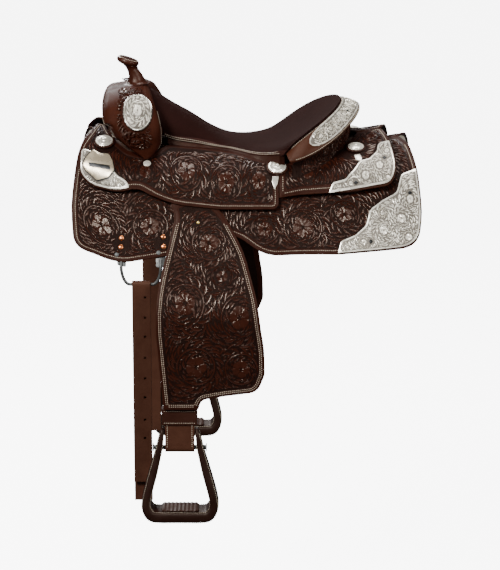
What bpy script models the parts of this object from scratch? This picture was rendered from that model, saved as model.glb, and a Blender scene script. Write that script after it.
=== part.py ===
"""Western saddle: tree, leathers, silver trim, rigging, fenders and stirrups.

Metres. +X runs to the cantle, the near (left) side is at -Y, +Z is up. The origin is in the middle
plane, on the horse's spine line, half way along the skirts. Every piece that lies on the horse is
a sheet laid on one surface, the saddle's back: x runs along it, s is the girth parameter that
runs down from the spine, and h is the height above it.
"""
import math

import bmesh
import bpy
from mathutils import Matrix, Vector

# ---- driving dimensions: the back of the horse ------------------------------------------------
SPINE_GAP = 0.015            # the pads stop this far from the middle plane
CURVE_END = 0.155            # girth parameter where the curved top turns into a flat side
FRONT_END, REAR_END = -0.36, 0.35
FLAT_FROM, FLAT_TO = -0.24, 0.06      # between these the section is constant below the bars

# ---- driving dimensions: the stack of leathers, as heights above the back ---------------------
FLEECE = (0.0, 0.0100)
RIGGING_PLATE = (0.0106, 0.0122)
SKIRT = (0.0127, 0.0172)
LEATHER_UNDER_BAR = (0.0184, 0.0206)
BAR_BOTTOM = 0.0180
FENDER = (0.0210, 0.0250)
JOCKEY_THICK = 0.0040
SILVER_THICK = 0.0012
GAP = 0.0004

# ---- driving dimensions: fork, horn, seat and cantle ------------------------------------------
FORK_X = -0.244
FORK_COVER = 0.0035
HORN_BASE = Vector((-0.2335, 0.0, 0.1716))
HORN_TOP = Vector((-0.2500, 0.0, 0.2105))
HORN_CAP_RADIUS = 0.0235
HORN_CAP_TILT = math.radians(18)
SEAT_FRONT_EDGE_X, SEAT_FRONT_RIDGE_X = -0.168, -0.204
CREST_END = Vector((0.062, 0.157, 0.040))
CREST_TOP = Vector((0.188, 0.0, 0.138))
ROLL_END = Vector((0.066, 0.178, 0.042))
ROLL_TOP = Vector((0.228, 0.0, 0.126))
ROLL_THICK = 0.011

# ---- driving dimensions: stirrup side ---------------------------------------------------------
PIVOT_X, PIVOT_S = -0.125, 0.165      # where the stirrup leather leaves the bar
LIFT_S = 0.200                        # where the fender bends when it is lifted
BEND_S = 0.369                        # where the fender leaves the skirt and hangs down
BEND_RADIUS = 0.12
HANG_ANGLE = math.radians(88)
FENDER_END = 0.588
LEATHER_WIDTH = 0.059
LEATHER_PLY = 0.0040
KEEPER_HEIGHT = 0.033
STIRRUP_X, STIRRUP_Y = -0.1425, 0.2775
BOLT_Z = -0.5285
BOLT_RADIUS = 0.0047
RING_X, RING_S, RING_WIRE = -0.219, 0.300, 0.003
RING_HALF_WIDTH, RING_DEPTH, RING_HALF_FLAT = 0.040, 0.038, 0.0225
BILLET_WIDTH = 0.037
BILLET_LENGTHS = (0.418, 0.462)       # outer and inner ply, below the ring

# ---- materials: colour, roughness, metallic ---------------------------------------------------
TOOLED = ("tooled_leather", (0.045, 0.016, 0.011), 0.42, 0.0)
PLAIN = ("plain_leather", (0.075, 0.026, 0.016), 0.5, 0.0)
STRAP = ("strap_leather", (0.072, 0.027, 0.017), 0.6, 0.0)
SUEDE = ("seat_suede", (0.030, 0.012, 0.011), 0.95, 0.0)
SHEEPSKIN = ("sheepskin", (0.62, 0.53, 0.40), 0.95, 0.0)
WOOD = ("tree_wood", (0.48, 0.33, 0.18), 0.7, 0.0)
FOAM = ("seat_foam", (0.75, 0.72, 0.60), 0.9, 0.0)
SILVER = ("engraved_silver", (0.78, 0.75, 0.68), 0.3, 1.0)
STEEL = ("rigging_steel", (0.40, 0.41, 0.40), 0.35, 1.0)

SIDES = (("left", -1.0), ("right", 1.0))


def clear_scene():
    for thing in list(bpy.data.objects):
        bpy.data.objects.remove(thing, do_unlink=True)


def material(spec):
    name, colour, roughness, metallic = spec
    made = bpy.data.materials.get(name)
    if made is None:
        made = bpy.data.materials.new(name)
        made.use_nodes = True
        shader = made.node_tree.nodes["Principled BSDF"]
        shader.inputs["Base Color"].default_value = (*colour, 1.0)
        shader.inputs["Roughness"].default_value = roughness
        shader.inputs["Metallic"].default_value = metallic
    return made


def add_object(name, bm, spec, parent=None):
    """Closes the bmesh into an object, in world coordinates or under a parent empty."""
    bm.normal_update()
    bmesh.ops.triangulate(bm, faces=[f for f in bm.faces if len(f.verts) > 3])
    bmesh.ops.recalc_face_normals(bm, faces=bm.faces)
    mesh = bpy.data.meshes.new(name)
    bm.to_mesh(mesh)
    bm.free()
    mesh.materials.append(material(spec))
    thing = bpy.data.objects.new(name, mesh)
    bpy.context.scene.collection.objects.link(thing)
    if parent is not None:
        mesh.transform(parent.matrix_world.inverted())
        thing.parent = parent
    mesh.shade_smooth()
    mesh.set_sharp_from_angle(angle=math.radians(35))
    return thing


def add_pivot(name, place, rotation=None, parent=None):
    empty = bpy.data.objects.new(name, None)
    bpy.context.scene.collection.objects.link(empty)
    world = Matrix.Translation(place) @ (rotation or Matrix.Identity(4))
    empty.parent = parent
    empty.matrix_basis = (parent.matrix_world.inverted() @ world) if parent else world
    bpy.context.view_layer.update()
    return empty


# ---- small curve tools ------------------------------------------------------------------------
def ease(t):
    t = min(1.0, max(0.0, t))
    return t * t * (3.0 - 2.0 * t)


def along(points, x):
    """Smooth curve through (x, value) points, with Catmull-Rom slopes."""
    if x <= points[0][0]:
        return points[0][1]
    if x >= points[-1][0]:
        return points[-1][1]
    k = max(i for i in range(len(points) - 1) if points[i][0] <= x)

    def slope(i):
        a, b = points[max(i - 1, 0)], points[min(i + 1, len(points) - 1)]
        return (b[1] - a[1]) / (b[0] - a[0])

    (x0, v0), (x1, v1) = points[k], points[k + 1]
    t, w = (x - x0) / (x1 - x0), x1 - x0
    return (v0 * (2 * t**3 - 3 * t**2 + 1) + v1 * (3 * t**2 - 2 * t**3)
            + w * slope(k) * (t**3 - 2 * t**2 + t) + w * slope(k + 1) * (t**3 - t**2))


def rounded(corners, step=math.radians(24)):
    """Polygon whose corners (x, s, radius) are turned with arcs."""
    outline = []
    count = len(corners)
    for i, (x, s, radius) in enumerate(corners):
        here = Vector((x, s))
        before = Vector(corners[i - 1][:2]) - here
        after = Vector(corners[(i + 1) % count][:2]) - here
        turn = math.pi - before.angle(after)
        if radius <= 0.0 or turn < 0.05:
            outline.append(here)
            continue
        reach = min(radius * math.tan(turn / 2), 0.49 * before.length, 0.49 * after.length)
        start, end = here + before.normalized() * reach, here + after.normalized() * reach
        parts = max(1, round(turn / step))
        for j in range(parts + 1):
            t = j / parts
            outline.append(start * (1 - t)**2 + here * (2 * t * (1 - t)) + end * t**2)
    return outline


def oval(x, s, half_x, half_s, count=16, tilt=0.0):
    turns = [2 * math.pi * k / count for k in range(count)]
    spots = [(half_x * math.cos(a), half_s * math.sin(a)) for a in turns]
    c, d = math.cos(tilt), math.sin(tilt)
    return [Vector((x + c * u - d * v, s + d * u + c * v)) for u, v in spots]


# ---- the saddle's back ------------------------------------------------------------------------
def zone(x, front, middle, rear):
    if x < FLAT_FROM:
        return middle + (front - middle) * ease((FLAT_FROM - x) / (FLAT_FROM - FRONT_END))
    return middle + (rear - middle) * ease((x - FLAT_TO) / (REAR_END - FLAT_TO))


def back(x, s, h):
    """Point at height h above the back, on the +Y side."""
    rise = 0.062 * (x / FRONT_END)**2 if x < 0 else 0.046 * (x / REAR_END)**2
    top = Vector((SPINE_GAP, 0.006 + rise))
    start = math.radians(zone(x, 12, 0, 6))
    slope = math.radians(zone(x, 64, 62, 58))
    join = Vector((zone(x, 0.115, 0.153, 0.182), zone(x, -0.008, -0.038, -0.050)))
    down = Vector((math.cos(slope), -math.sin(slope)))
    if s >= CURVE_END:
        place, run = join + down * (s - CURVE_END), down
    else:
        reach = 0.36 * (join - top).length
        a, b = top + reach * Vector((math.cos(start), -math.sin(start))), join - reach * down
        t = s / CURVE_END
        u = 1 - t
        place = top * u**3 + a * (3 * u * u * t) + b * (3 * u * t * t) + join * t**3
        run = ((a - top) * (u * u) + (b - a) * (2 * u * t) + (join - b) * (t * t)).normalized()
    place = place + h * Vector((-run.y, run.x))
    return Vector((x, place.x, place.y))


def skin_height(x, y, height):
    """Height Z over the point (x, y) of a surface that lies at height(x, s) above the back."""
    low, high = 0.0, 0.30
    for _ in range(30):
        middle = (low + high) / 2
        short = back(x, middle, height(x, middle)).y < abs(y)
        low, high = (middle, high) if short else (low, middle)
    return back(x, low, height(x, low)).z


# ---- sheets cut on one common lattice, so that their layers never cross -------------------------
X_LINES = [-0.42 + 0.06 * k for k in range(14)]
S_LINES = [-0.05, 0.0, 0.035, 0.070, 0.100, 0.128, CURVE_END, 0.175, 0.40]


def laid(x, s, h):
    """Point on the faceted back, straight between the lattice's X lines."""
    k = max(i for i in range(len(X_LINES) - 1) if X_LINES[i] <= x + 1e-9)
    part = (x - X_LINES[k]) / (X_LINES[k + 1] - X_LINES[k])
    return back(X_LINES[k], s, h).lerp(back(X_LINES[k + 1], s, h), part)


def lattice_index(lines, value):
    k = max(i for i in range(len(lines) - 1) if lines[i] <= value + 1e-9)
    return k + (value - lines[k]) / (lines[k + 1] - lines[k])


def cut(bm, point, normal):
    geometry = list(bm.verts) + list(bm.edges) + list(bm.faces)
    bmesh.ops.bisect_plane(bm, geom=geometry, dist=1e-6, plane_co=point, plane_no=normal)


def sheet(name, outline, low, high, spec, side, place=back, lines=(X_LINES, S_LINES), parent=None):
    """Sheet between two heights. A height is a number or a function of (x, s)."""
    flat = bmesh.new()
    flat.faces.new([flat.verts.new((p[0], p[1], 0)) for p in outline])
    for value in lines[0]:
        cut(flat, (value, 0, 0), (1, 0, 0))
    for value in lines[1]:
        cut(flat, (0, value, 0), (0, 1, 0))
    for v in flat.verts:
        v.co = (lattice_index(lines[0], v.co.x), lattice_index(lines[1], v.co.y), 0)
    for offset in range(-len(lines[1]), len(lines[0])):
        cut(flat, (offset, 0, 0), (1, -1, 0))
    corners = {}

    def corner(i, j, layer, height):
        if (i, j, layer) not in corners:
            x, s = lines[0][i], lines[1][j]
            h = height(x, s) if callable(height) else height
            p = place(x, s, h)
            corners[i, j, layer] = Vector((p.x, side * p.y, p.z))
        return corners[i, j, layer]

    def mapped(v, layer, height):
        i = min(int(v.co.x + 1e-6), len(lines[0]) - 2)
        j = min(int(v.co.y + 1e-6), len(lines[1]) - 2)
        u, w = v.co.x - i, v.co.y - j
        a, d = corner(i, j, layer, height), corner(i + 1, j + 1, layer, height)
        if u >= w:
            b = corner(i + 1, j, layer, height)
            return a + (b - a) * u + (d - b) * w
        b = corner(i, j + 1, layer, height)
        return a + (b - a) * w + (d - b) * u

    bm = bmesh.new()
    under = {v: bm.verts.new(mapped(v, 0, low)) for v in flat.verts}
    over = {v: bm.verts.new(mapped(v, 1, high)) for v in flat.verts}
    for face in flat.faces:
        bm.faces.new([over[v] for v in face.verts])
        bm.faces.new([under[v] for v in reversed(face.verts)])
    for edge in flat.edges:
        if len(edge.link_faces) == 1:
            a, b = edge.verts
            bm.faces.new([over[a], over[b], under[b], under[a]])
    flat.free()
    return add_object(name, bm, spec, parent)


def loft(name, rings, spec, parent=None, close_loop=False):
    """Skin over rings of points that have the same count, with capped ends."""
    bm = bmesh.new()
    rows = [[bm.verts.new(p) for p in ring] for ring in rings]
    pairs = list(zip(rows, rows[1:] + rows[:1])) if close_loop else list(zip(rows, rows[1:]))
    for one, two in pairs:
        for k in range(len(one)):
            m = (k + 1) % len(one)
            bm.faces.new([one[k], one[m], two[m], two[k]])
    if not close_loop:
        bm.faces.new(rows[0])
        bm.faces.new(list(reversed(rows[-1])))
    return add_object(name, bm, spec, parent)


# ---- fleece, skirts, tree bars and jockeys ------------------------------------------------------
SKIRT_OUTLINE = rounded([
    (-0.318, 0.002, 0.01), (-0.337, 0.020, 0.03), (-0.352, 0.100, 0.3), (-0.364, 0.213, 0.3),
    (-0.356, 0.304, 0.055), (-0.290, 0.300, 0.1), (-0.171, 0.281, 0.1), (-0.110, 0.272, 0.1),
    (-0.060, 0.228, 0.04), (-0.018, 0.244, 0.06), (0.032, 0.281, 0.08), (0.176, 0.272, 0.2),
    (0.338, 0.244, 0.06), (0.347, 0.170, 0.2), (0.340, 0.100, 0.3), (0.326, 0.030, 0.1),
    (0.308, -0.0115, 0.01), (0.190, -0.0115, 0.01), (0.170, 0.002, 0.01)])


def inset_outline(outline, distance):
    """Moves a closed outline inwards (the outline runs towards larger s on its -x side)."""
    area = sum(a.cross(b) for a, b in zip(outline, outline[1:] + outline[:1]))
    turn = -1.0 if area > 0 else 1.0
    moved = []
    for i, p in enumerate(outline):
        run = (outline[(i + 1) % len(outline)] - outline[i - 1]).normalized()
        moved.append(p + Vector((run.y, -run.x)) * turn * distance)
    return moved


def bar_top(x, s):
    middle = along([(0.0, 0.026), (0.035, 0.0275), (0.070, 0.0305), (0.100, 0.032),
                    (0.128, 0.0305), (CURVE_END, 0.0235)], s)
    return middle - 0.006 * ease((abs(x) - 0.22) / 0.08)


def jockey_low(x, s):
    edge = 0.0258 - 0.0078 * (ease((FLAT_FROM - x) / 0.06) + ease((x - FLAT_TO) / 0.06))
    return along([(0.05, 0.0385), (0.075, 0.0364), (0.10, 0.0342), (0.128, 0.0336), (CURVE_END, 0.0268), (0.175, edge)], s)


def jockey_high(x, s):
    return jockey_low(x, s) + JOCKEY_THICK


def above_jockey(gap, thickness=0.0):
    return lambda x, s: jockey_high(x, s) + gap + thickness


def make_bars():
    outline = rounded([(-0.300, 0.034, 0.03), (-0.300, 0.125, 0.04), (-0.20, 0.140, 0.1),
                       (-0.163, 0.146, 0), (-0.163, 0.1405, 0), (-0.087, 0.1405, 0),
                       (-0.087, 0.146, 0), (0.05, 0.146, 0.1), (0.20, 0.146, 0.1),
                       (0.288, 0.120, 0.05), (0.288, 0.034, 0.03), (0.05, 0.022, 0.1),
                       (-0.087, 0.022, 0), (-0.087, 0.0275, 0), (-0.163, 0.0275, 0),
                       (-0.163, 0.022, 0)])
    lines = (sorted(X_LINES + [-0.163, -0.162, -0.088, -0.087]), S_LINES)

    def low(x, s):
        return BAR_BOTTOM + (0.0035 if -0.1625 < x < -0.0875 else 0.0)

    def high(x, s):
        return bar_top(x, s) - (0.0045 if -0.1625 < x < -0.0875 else 0.0)

    for side_name, side in SIDES:
        sheet(f"tree_bar_{side_name}", outline, low, high, WOOD, side, lines=lines)


JOCKEY_OUTLINE = rounded([
    (-0.345, 0.092, 0.02), (-0.327, 0.052, 0.08), (-0.314, 0.010, 0.02), (-0.300, 0.008, 0.02),
    (-0.284, 0.040, 0.05), (-0.276, 0.078, 0.03), (-0.240, 0.092, 0.05), (-0.190, 0.092, 0.03),
    (-0.166, 0.048, 0.03), (-0.100, 0.050, 0.1), (-0.037, 0.062, 0.1), (0.020, 0.088, 0.1),
    (0.058, 0.096, 0.0), (0.0580, 0.170, 0.0), (0.055, 0.1865, 0.02), (-0.060, 0.187, 0.2),
    (-0.151, 0.177, 0.15), (-0.191, 0.161, 0.08), (-0.222, 0.148, 0.04), (-0.240, 0.148, 0.03),
    (-0.283, 0.159, 0.1), (-0.322, 0.167, 0.05), (-0.347, 0.152, 0.06)])
REAR_JOCKEY_OUTLINE = rounded([
    (0.0592, 0.096, 0.0), (0.100, 0.094, 0.0), (0.150, 0.078, 0.06), (0.205, 0.034, 0.06),
    (0.222, -0.0115, 0.0), (0.272, -0.0115, 0.01), (0.285, 0.040, 0.1), (0.297, 0.105, 0.06),
    (0.286, 0.133, 0.03), (0.201, 0.147, 0.2), (0.101, 0.156, 0.2), (0.0592, 0.163, 0.0)])


def make_leathers():
    for side_name, side in SIDES:
        sheet(f"fleece_{side_name}", inset_outline(SKIRT_OUTLINE, 0.004), *FLEECE, SHEEPSKIN, side)
        sheet(f"skirt_{side_name}", SKIRT_OUTLINE, *SKIRT, TOOLED, side)
        sheet(f"seat_jockey_{side_name}", JOCKEY_OUTLINE, jockey_low, jockey_high, TOOLED, side)
        sheet(f"rear_jockey_{side_name}", REAR_JOCKEY_OUTLINE, jockey_low, jockey_high, TOOLED,
              side)


# ---- silver corner plates and conchos -----------------------------------------------------------
FRONT_PLATE = rounded([
    (-0.3425, 0.098, 0.01), (-0.320, 0.100, 0.01), (-0.284, 0.098, 0.01), (-0.276, 0.128, 0.02),
    (-0.250, 0.136, 0.02), (-0.242, 0.1455, 0.004), (-0.283, 0.156, 0.1), (-0.321, 0.1635, 0.04),
    (-0.3440, 0.149, 0.04)])
REAR_JOCKEY_PLATE = rounded([
    (0.158, 0.1515, 0.002), (0.166, 0.136, 0.01), (0.192, 0.130, 0.015), (0.210, 0.112, 0.015),
    (0.222, 0.094, 0.015), (0.243, 0.088, 0.015), (0.258, 0.072, 0.015), (0.262, 0.052, 0.012),
    (0.284, 0.048, 0.003), (0.2945, 0.105, 0.06), (0.284, 0.130, 0.03), (0.201, 0.1445, 0.2)])
SKIRT_PLATE = rounded([
    (0.176, 0.2695, 0.002), (0.182, 0.244, 0.012), (0.211, 0.229, 0.02), (0.233, 0.207, 0.015),
    (0.242, 0.172, 0.02), (0.264, 0.153, 0.015), (0.296, 0.138, 0.015), (0.306, 0.106, 0.012),
    (0.3365, 0.096, 0.003), (0.3440, 0.170, 0.2), (0.3355, 0.241, 0.06)])
CONCHOS = {"front": (-0.297, 0.071, 0.0175), "middle": (0.055, 0.113, 0.0185),
           "rear": (0.216, 0.061, 0.0165)}


def make_silver():
    for side_name, side in SIDES:
        on_jockey = (above_jockey(GAP), above_jockey(GAP, SILVER_THICK))
        sheet(f"front_plate_{side_name}", FRONT_PLATE, *on_jockey, SILVER, side)
        sheet(f"rear_jockey_plate_{side_name}", REAR_JOCKEY_PLATE, *on_jockey, SILVER, side)
        skirt_top = SKIRT[1] + GAP
        sheet(f"skirt_plate_{side_name}", SKIRT_PLATE, skirt_top, skirt_top + SILVER_THICK, SILVER,
              side)
        for place, (x, s, radius) in CONCHOS.items():
            dome_concho(f"concho_{place}_{side_name}", x, s, radius, side)


def dome_concho(name, x, s, radius, side):
    """Domed round plate, turned about the normal of the leather under it."""
    base = jockey_high(x, s) + 0.0028
    centre = back(x, s, base)
    normal = (back(x, s, base + 0.01) - centre).normalized()
    profile = [(0.0, 0.0), (1.0, 0.0), (1.0, 0.0012), (0.86, 0.0024), (0.5, 0.0044), (0.0, 0.0052)]
    turned(name, centre, normal, [(radius * r, z) for r, z in profile], SILVER, side)


def turned(name, centre, normal, profile, spec, side=1.0, count=16, parent=None):
    """Solid of revolution about an axis; the profile (radius, height) starts and ends on it."""
    spin = Vector((0, 0, 1)).rotation_difference(normal).to_matrix().to_4x4()
    world = Matrix.Diagonal((1, side, 1, 1)) @ Matrix.Translation(centre) @ spin
    bm = bmesh.new()
    rows = []
    for radius, height in profile:
        if radius < 1e-6:
            rows.append([bm.verts.new((0, 0, height))])
            continue
        turns = [2 * math.pi * k / count for k in range(count)]
        ring = [(radius * math.cos(a), radius * math.sin(a), height) for a in turns]
        rows.append([bm.verts.new(p) for p in ring])
    for one, two in zip(rows, rows[1:]):
        for k in range(count):
            m = (k + 1) % count
            face = [one[k % len(one)], one[m % len(one)], two[m % len(two)], two[k % len(two)]]
            bm.faces.new(list(dict.fromkeys(face)))
    bm.transform(world)
    return add_object(name, bm, spec, parent)


# ---- fork, swell cover and horn -----------------------------------------------------------------
# Outer (swell) and inner (gullet) arch in the YZ plane, from the middle to the foot of the leg.
SWELL = [(0.0, 0.168), (0.045, 0.1665), (0.085, 0.158), (0.120, 0.140), (0.143, 0.112),
         (0.148, 0.086), (0.144, 0.064)]
GULLET = [(0.0, 0.112), (0.030, 0.109), (0.050, 0.103), (0.060, 0.097), (0.065, 0.092),
          (0.067, 0.087), (0.068, 0.080)]
SWELL_FRONT = [(0.0, -0.303), (0.5, -0.300), (0.8, -0.287), (1.0, -0.266)]
SWELL_REAR = [(0.0, -0.2055), (0.35, -0.196), (0.7, -0.181), (1.0, -0.180)]
SWELL_CORNER = 0.020
SWELL_RAKE = 0.10                      # the top rises this much per metre towards the seat
CORE_FOOT_S = (0.053, 0.084)          # girth parameters of the leg's inner and outer foot
COVER_FOOT_S = (0.048, 0.100)


def fork_path(turn, inset):
    """Open path round the front, top and rear of the fork at one place along its arch."""
    t = abs(turn)
    knots = [k / (len(SWELL) - 1) for k in range(len(SWELL))]
    outer = Vector([along(list(zip(knots, [p[i] for p in SWELL])), t) for i in (0, 1)])
    inner = Vector([along(list(zip(knots, [p[i] for p in GULLET])), t) for i in (0, 1)])
    front, rear = along(SWELL_FRONT, t) + inset, along(SWELL_REAR, t) - inset
    reach = (outer - inner).length
    outer = outer - (outer - inner) * (inset / reach)
    side = -1.0 if turn < 0 else 1.0
    corner = SWELL_CORNER
    path = [(front, 0.0), (front, 0.45)]
    for k in range(3):
        a = math.pi / 2 * k / 2
        path.append((front + corner * (1 - math.cos(a)), 1 - corner / reach * (1 - math.sin(a))))
    path.append(((front + rear) / 2, 1.03))
    for k in range(3):
        a = math.pi / 2 * (1 - k / 2)
        path.append((rear - corner * (1 - math.cos(a)), 1 - corner / reach * (1 - math.sin(a))))
    path += [(rear, 0.45), (rear, 0.0)]
    points = []
    for x, part in path:
        spot = inner.lerp(outer, part)
        rake = SWELL_RAKE * (x - FORK_X) * part * (1.0 - t)
        points.append(Vector((x, side * spot.x, spot.y + rake)))
    return points


def foot_path(side, inset, low, foot):
    """The same path at the foot, lying on the leathers: low is its height above the back."""
    top = fork_path(side, inset)
    s_in, s_out = foot
    points = []
    for p in top:
        reach = min(1.0, max(0.0, (abs(p.y) - 0.068) / (0.144 - 0.068)))
        q = back(p.x, s_in + (s_out - s_in - inset) * reach, low)
        points.append(Vector((q.x, side * q.y, q.z)))
    return points


def make_fork():
    stations = [k / 7 for k in range(-6, 7)]
    core_inset = FORK_COVER + 0.0015
    ends = [foot_path(side, core_inset + 0.008, 0.0350, CORE_FOOT_S) for side in (-1.0, 1.0)]
    core = [fork_path(t, core_inset) for t in stations]
    loft("tree_fork", [ends[0]] + core + [ends[1]], WOOD)
    rings = []
    ends = [(-1.0, None)] + [(0.0, t) for t in stations] + [(1.0, None)]
    for side, t in ends:
        if t is None:
            outer = foot_path(side, 0.0, 0.0412, COVER_FOOT_S)
            inner = foot_path(side, FORK_COVER, 0.0412, COVER_FOOT_S)
        else:
            outer, inner = fork_path(t, 0.0), fork_path(t, FORK_COVER)
        rings.append(outer + list(reversed(inner)))
    loft("swell_cover", rings, TOOLED)


def swell_place(x, t, h):
    """Point on the swell's flank: t is the place along the arch, h the height above it."""
    knots = [k / (len(SWELL) - 1) for k in range(len(SWELL))]
    y, z = (along(list(zip(knots, [p[i] for p in SWELL])), t) for i in (0, 1))
    y2, z2 = (along(list(zip(knots, [p[i] for p in SWELL])), t + 0.01) for i in (0, 1))
    run = Vector((y2 - y, z2 - z)).normalized()
    bulge = 0.0026 * (1 - ((x - FORK_X) / 0.032)**2)
    y, z = y - run.y * (h + bulge), z + run.x * (h + bulge)
    return Vector((x, y, z))


def make_swell_plates():
    lines = ([-0.28 + 0.0125 * k for k in range(10)], [k / 12 for k in range(13)])
    outline = oval(-0.2270, 0.565, 0.0305, 0.200)
    for side_name, side in SIDES:
        sheet(f"swell_plate_{side_name}", outline, 0.0026, 0.0046, SILVER, side,
              place=swell_place, lines=lines)


def neck_ring(t, radius, count=16):
    """Ring round the horn's bent neck: t runs from its foot to the cap."""
    low, high = HORN_BASE, HORN_TOP
    bend = Vector((low.x - 0.001, 0, (low.z + high.z) / 2))
    centre = low * (1 - t)**2 + bend * (2 * t * (1 - t)) + high * t**2
    lean = HORN_CAP_TILT * t**2
    other = Vector((math.cos(lean), 0, -math.sin(lean)))
    turns = [2 * math.pi * k / count for k in range(count)]
    return [centre + radius * (other * math.cos(a) + Vector((0, math.sin(a), 0))) for a in turns]


def make_horn():
    loft("horn_core", [neck_ring(t, 0.0098) for t in (0.0, 0.35, 0.7, 0.82)], STEEL)
    outside = [(0.02, 0.0195), (0.25, 0.0165), (0.55, 0.0145), (0.94, 0.0150)]
    rings = [neck_ring(t, radius) for t, radius in outside]
    rings += [neck_ring(t, 0.0104) for t in (0.94, 0.7, 0.35, 0.02)]
    loft("horn_wrap", rings, PLAIN, close_loop=True)
    normal = Vector((math.sin(HORN_CAP_TILT), 0, math.cos(HORN_CAP_TILT)))
    r = HORN_CAP_RADIUS
    cap = [(0.0, 0.0), (0.55 * r, 0.0), (0.92 * r, 0.0035), (r, 0.0075), (0.95 * r, 0.0105),
           (0.6 * r, 0.0125), (0.0, 0.0130)]
    turned("horn_cap", HORN_TOP + Vector((-0.004, 0, 0)), normal, cap, PLAIN, count=24)


# ---- seat and cantle ------------------------------------------------------------------------------
SEAT_WIDTH = [(-0.168, 0.075), (-0.148, 0.077), (-0.100, 0.076), (-0.055, 0.080),
              (-0.037, 0.086), (-0.010, 0.104), (0.020, 0.125), (0.062, 0.157)]
SEAT_RIDGE = [(-0.204, 0.1565), (-0.166, 0.131), (-0.124, 0.108), (-0.083, 0.081),
              (-0.042, 0.062), (0.0, 0.0535), (0.042, 0.0515), (0.085, 0.064), (0.120, 0.083),
              (0.155, 0.110), (0.188, 0.138)]
SEAT_EDGE = [(-0.168, 0.0665), (-0.148, 0.0610), (-0.100, 0.0555), (-0.055, 0.0520),
             (-0.037, 0.0500), (-0.010, 0.0458), (0.020, 0.0418), (0.062, 0.0425)]


def crest(a):
    c, d = max(0.0, math.cos(a)), math.sin(a)
    return Vector((CREST_END.x + (CREST_TOP.x - CREST_END.x) * c**0.85, CREST_END.y * d,
                   CREST_END.z + (CREST_TOP.z - CREST_END.z) * c**0.95))


def roll_edge(a):
    c, d = max(0.0, math.cos(a)), math.sin(a)
    return Vector((ROLL_END.x + (ROLL_TOP.x - ROLL_END.x) * c**0.85, ROLL_END.y * d,
                   ROLL_END.z + (ROLL_TOP.z - ROLL_END.z) * c**1.5))


def seat_top(u, v):
    """Seat surface: u runs from the fork to the cantle's crest, v from the left to the right."""
    a = v * math.pi / 2
    c = max(0.0, math.cos(a))
    edge_x = SEAT_FRONT_EDGE_X + u * (CREST_END.x - SEAT_FRONT_EDGE_X)
    ridge_x = SEAT_FRONT_RIDGE_X + u * (CREST_TOP.x - SEAT_FRONT_RIDGE_X)
    low, high = along(SEAT_EDGE, edge_x), along(SEAT_RIDGE, ridge_x)
    x = edge_x + (ridge_x - edge_x) * c**0.85
    return Vector((x, along(SEAT_WIDTH, edge_x) * math.sin(a), low + (high - low) * c**0.95))


def seat_point(u, v, depth):
    step = 0.01
    du = seat_top(u + step, v) - seat_top(u - step, v)
    dv = seat_top(u, v + step) - seat_top(u, v - step)
    return seat_top(u, v) - du.cross(dv).normalized() * depth


SEAT_U = [0.015 + 0.96 * k / 14 for k in range(15)]
SEAT_V = [0.985 * (k / 6 - 1) for k in range(13)]


def seat_layer(name, u_lines, v_lines, top, bottom, spec):
    """Layer of the seat between two depths below its surface, as functions of v."""
    rings = []
    for u in u_lines:
        over = [seat_point(u, v, top) for v in v_lines]
        under = [seat_point(u, v, bottom(v)) for v in reversed(v_lines)]
        rings.append(over + under)
    loft(name, rings, spec)


def make_seat():
    seat_layer("seat_cover", SEAT_U, SEAT_V, 0.0, lambda v: 0.0028, SUEDE)
    seat_layer("seat_pad", SEAT_U[1:13], SEAT_V[2:11], 0.0033,
               lambda v: 0.0070 - 0.0020 * (v / 0.66)**2, FOAM)
    seat_layer("ground_seat", SEAT_U[1:13], SEAT_V[3:10], 0.0076, lambda v: 0.0104, PLAIN)


def arc_angles(limit, count):
    return [math.radians(limit) * (2 * k / count - 1) for k in range(count + 1)]


def roll_frame(a):
    inner, outer = crest(a), roll_edge(a)
    across = outer - inner
    run = crest(a + 0.02) - crest(a - 0.02)
    up = run.cross(across).normalized()
    up = up if up.z > 0 else -up
    return inner + across.normalized() * 0.0035, across, up


def roll_ring(a, spots):
    inner, across, up = roll_frame(a)
    return [inner + across * t + up * (ROLL_THICK * (k - 0.5)) for t, k in spots]


CANTLE_FOOT = above_jockey(0.0013)


def make_cantle():
    loop = [(0.0, -0.5), (0.0, 0.30), (0.12, 0.48), (0.5, 0.60), (0.88, 0.45), (1.0, 0.05),
            (0.97, -0.35), (0.8, -0.5), (0.4, -0.5)]
    loft("cantle_roll", [roll_ring(a, loop) for a in arc_angles(86, 18)], PLAIN)
    rings = []
    for a in arc_angles(70, 14):
        end = math.sqrt(max(0.0, 1 - (abs(a) / math.radians(73))**6))
        half = 0.36 * end
        crown = [(0.5 - half, 0.66 - 0.10 * end), (0.5, 0.66), (0.5 + half, 0.66 - 0.12 * end)]
        top = [(t, k + 0.11) for t, k in reversed(crown)]
        rings.append(roll_ring(a, crown + top))
    loft("cantle_plate", rings, SILVER)
    core, facing = [], []
    for a in arc_angles(66, 14):
        top = crest(a)
        away = (roll_edge(a) - top)
        away.z = 0.0
        away.normalize()
        wood = [top - away * 0.003 + Vector((0, 0, -0.0220)),
                top + away * 0.012 + Vector((0, 0, -0.0270))]
        for reach in (0.012, -0.003):
            foot = top + away * reach
            wood.append(Vector((foot.x, foot.y, skin_height(foot.x, foot.y, CANTLE_FOOT))))
        core.append(wood)
    for a in arc_angles(70, 14):
        top = crest(a)
        away = (roll_edge(a) - top)
        away.z = 0.0
        away.normalize()
        strip = [top + away * 0.0150 + Vector((0, 0, -0.0290)),
                 top + away * 0.0185 + Vector((0, 0, -0.0310))]
        for reach in (0.0180, 0.0145):
            foot = top + away * reach
            strip.append(Vector((foot.x, foot.y, skin_height(foot.x, foot.y, CANTLE_FOOT))))
        facing.append(strip)
    loft("tree_cantle", core, WOOD)
    loft("cantle_back", facing, PLAIN)


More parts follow.
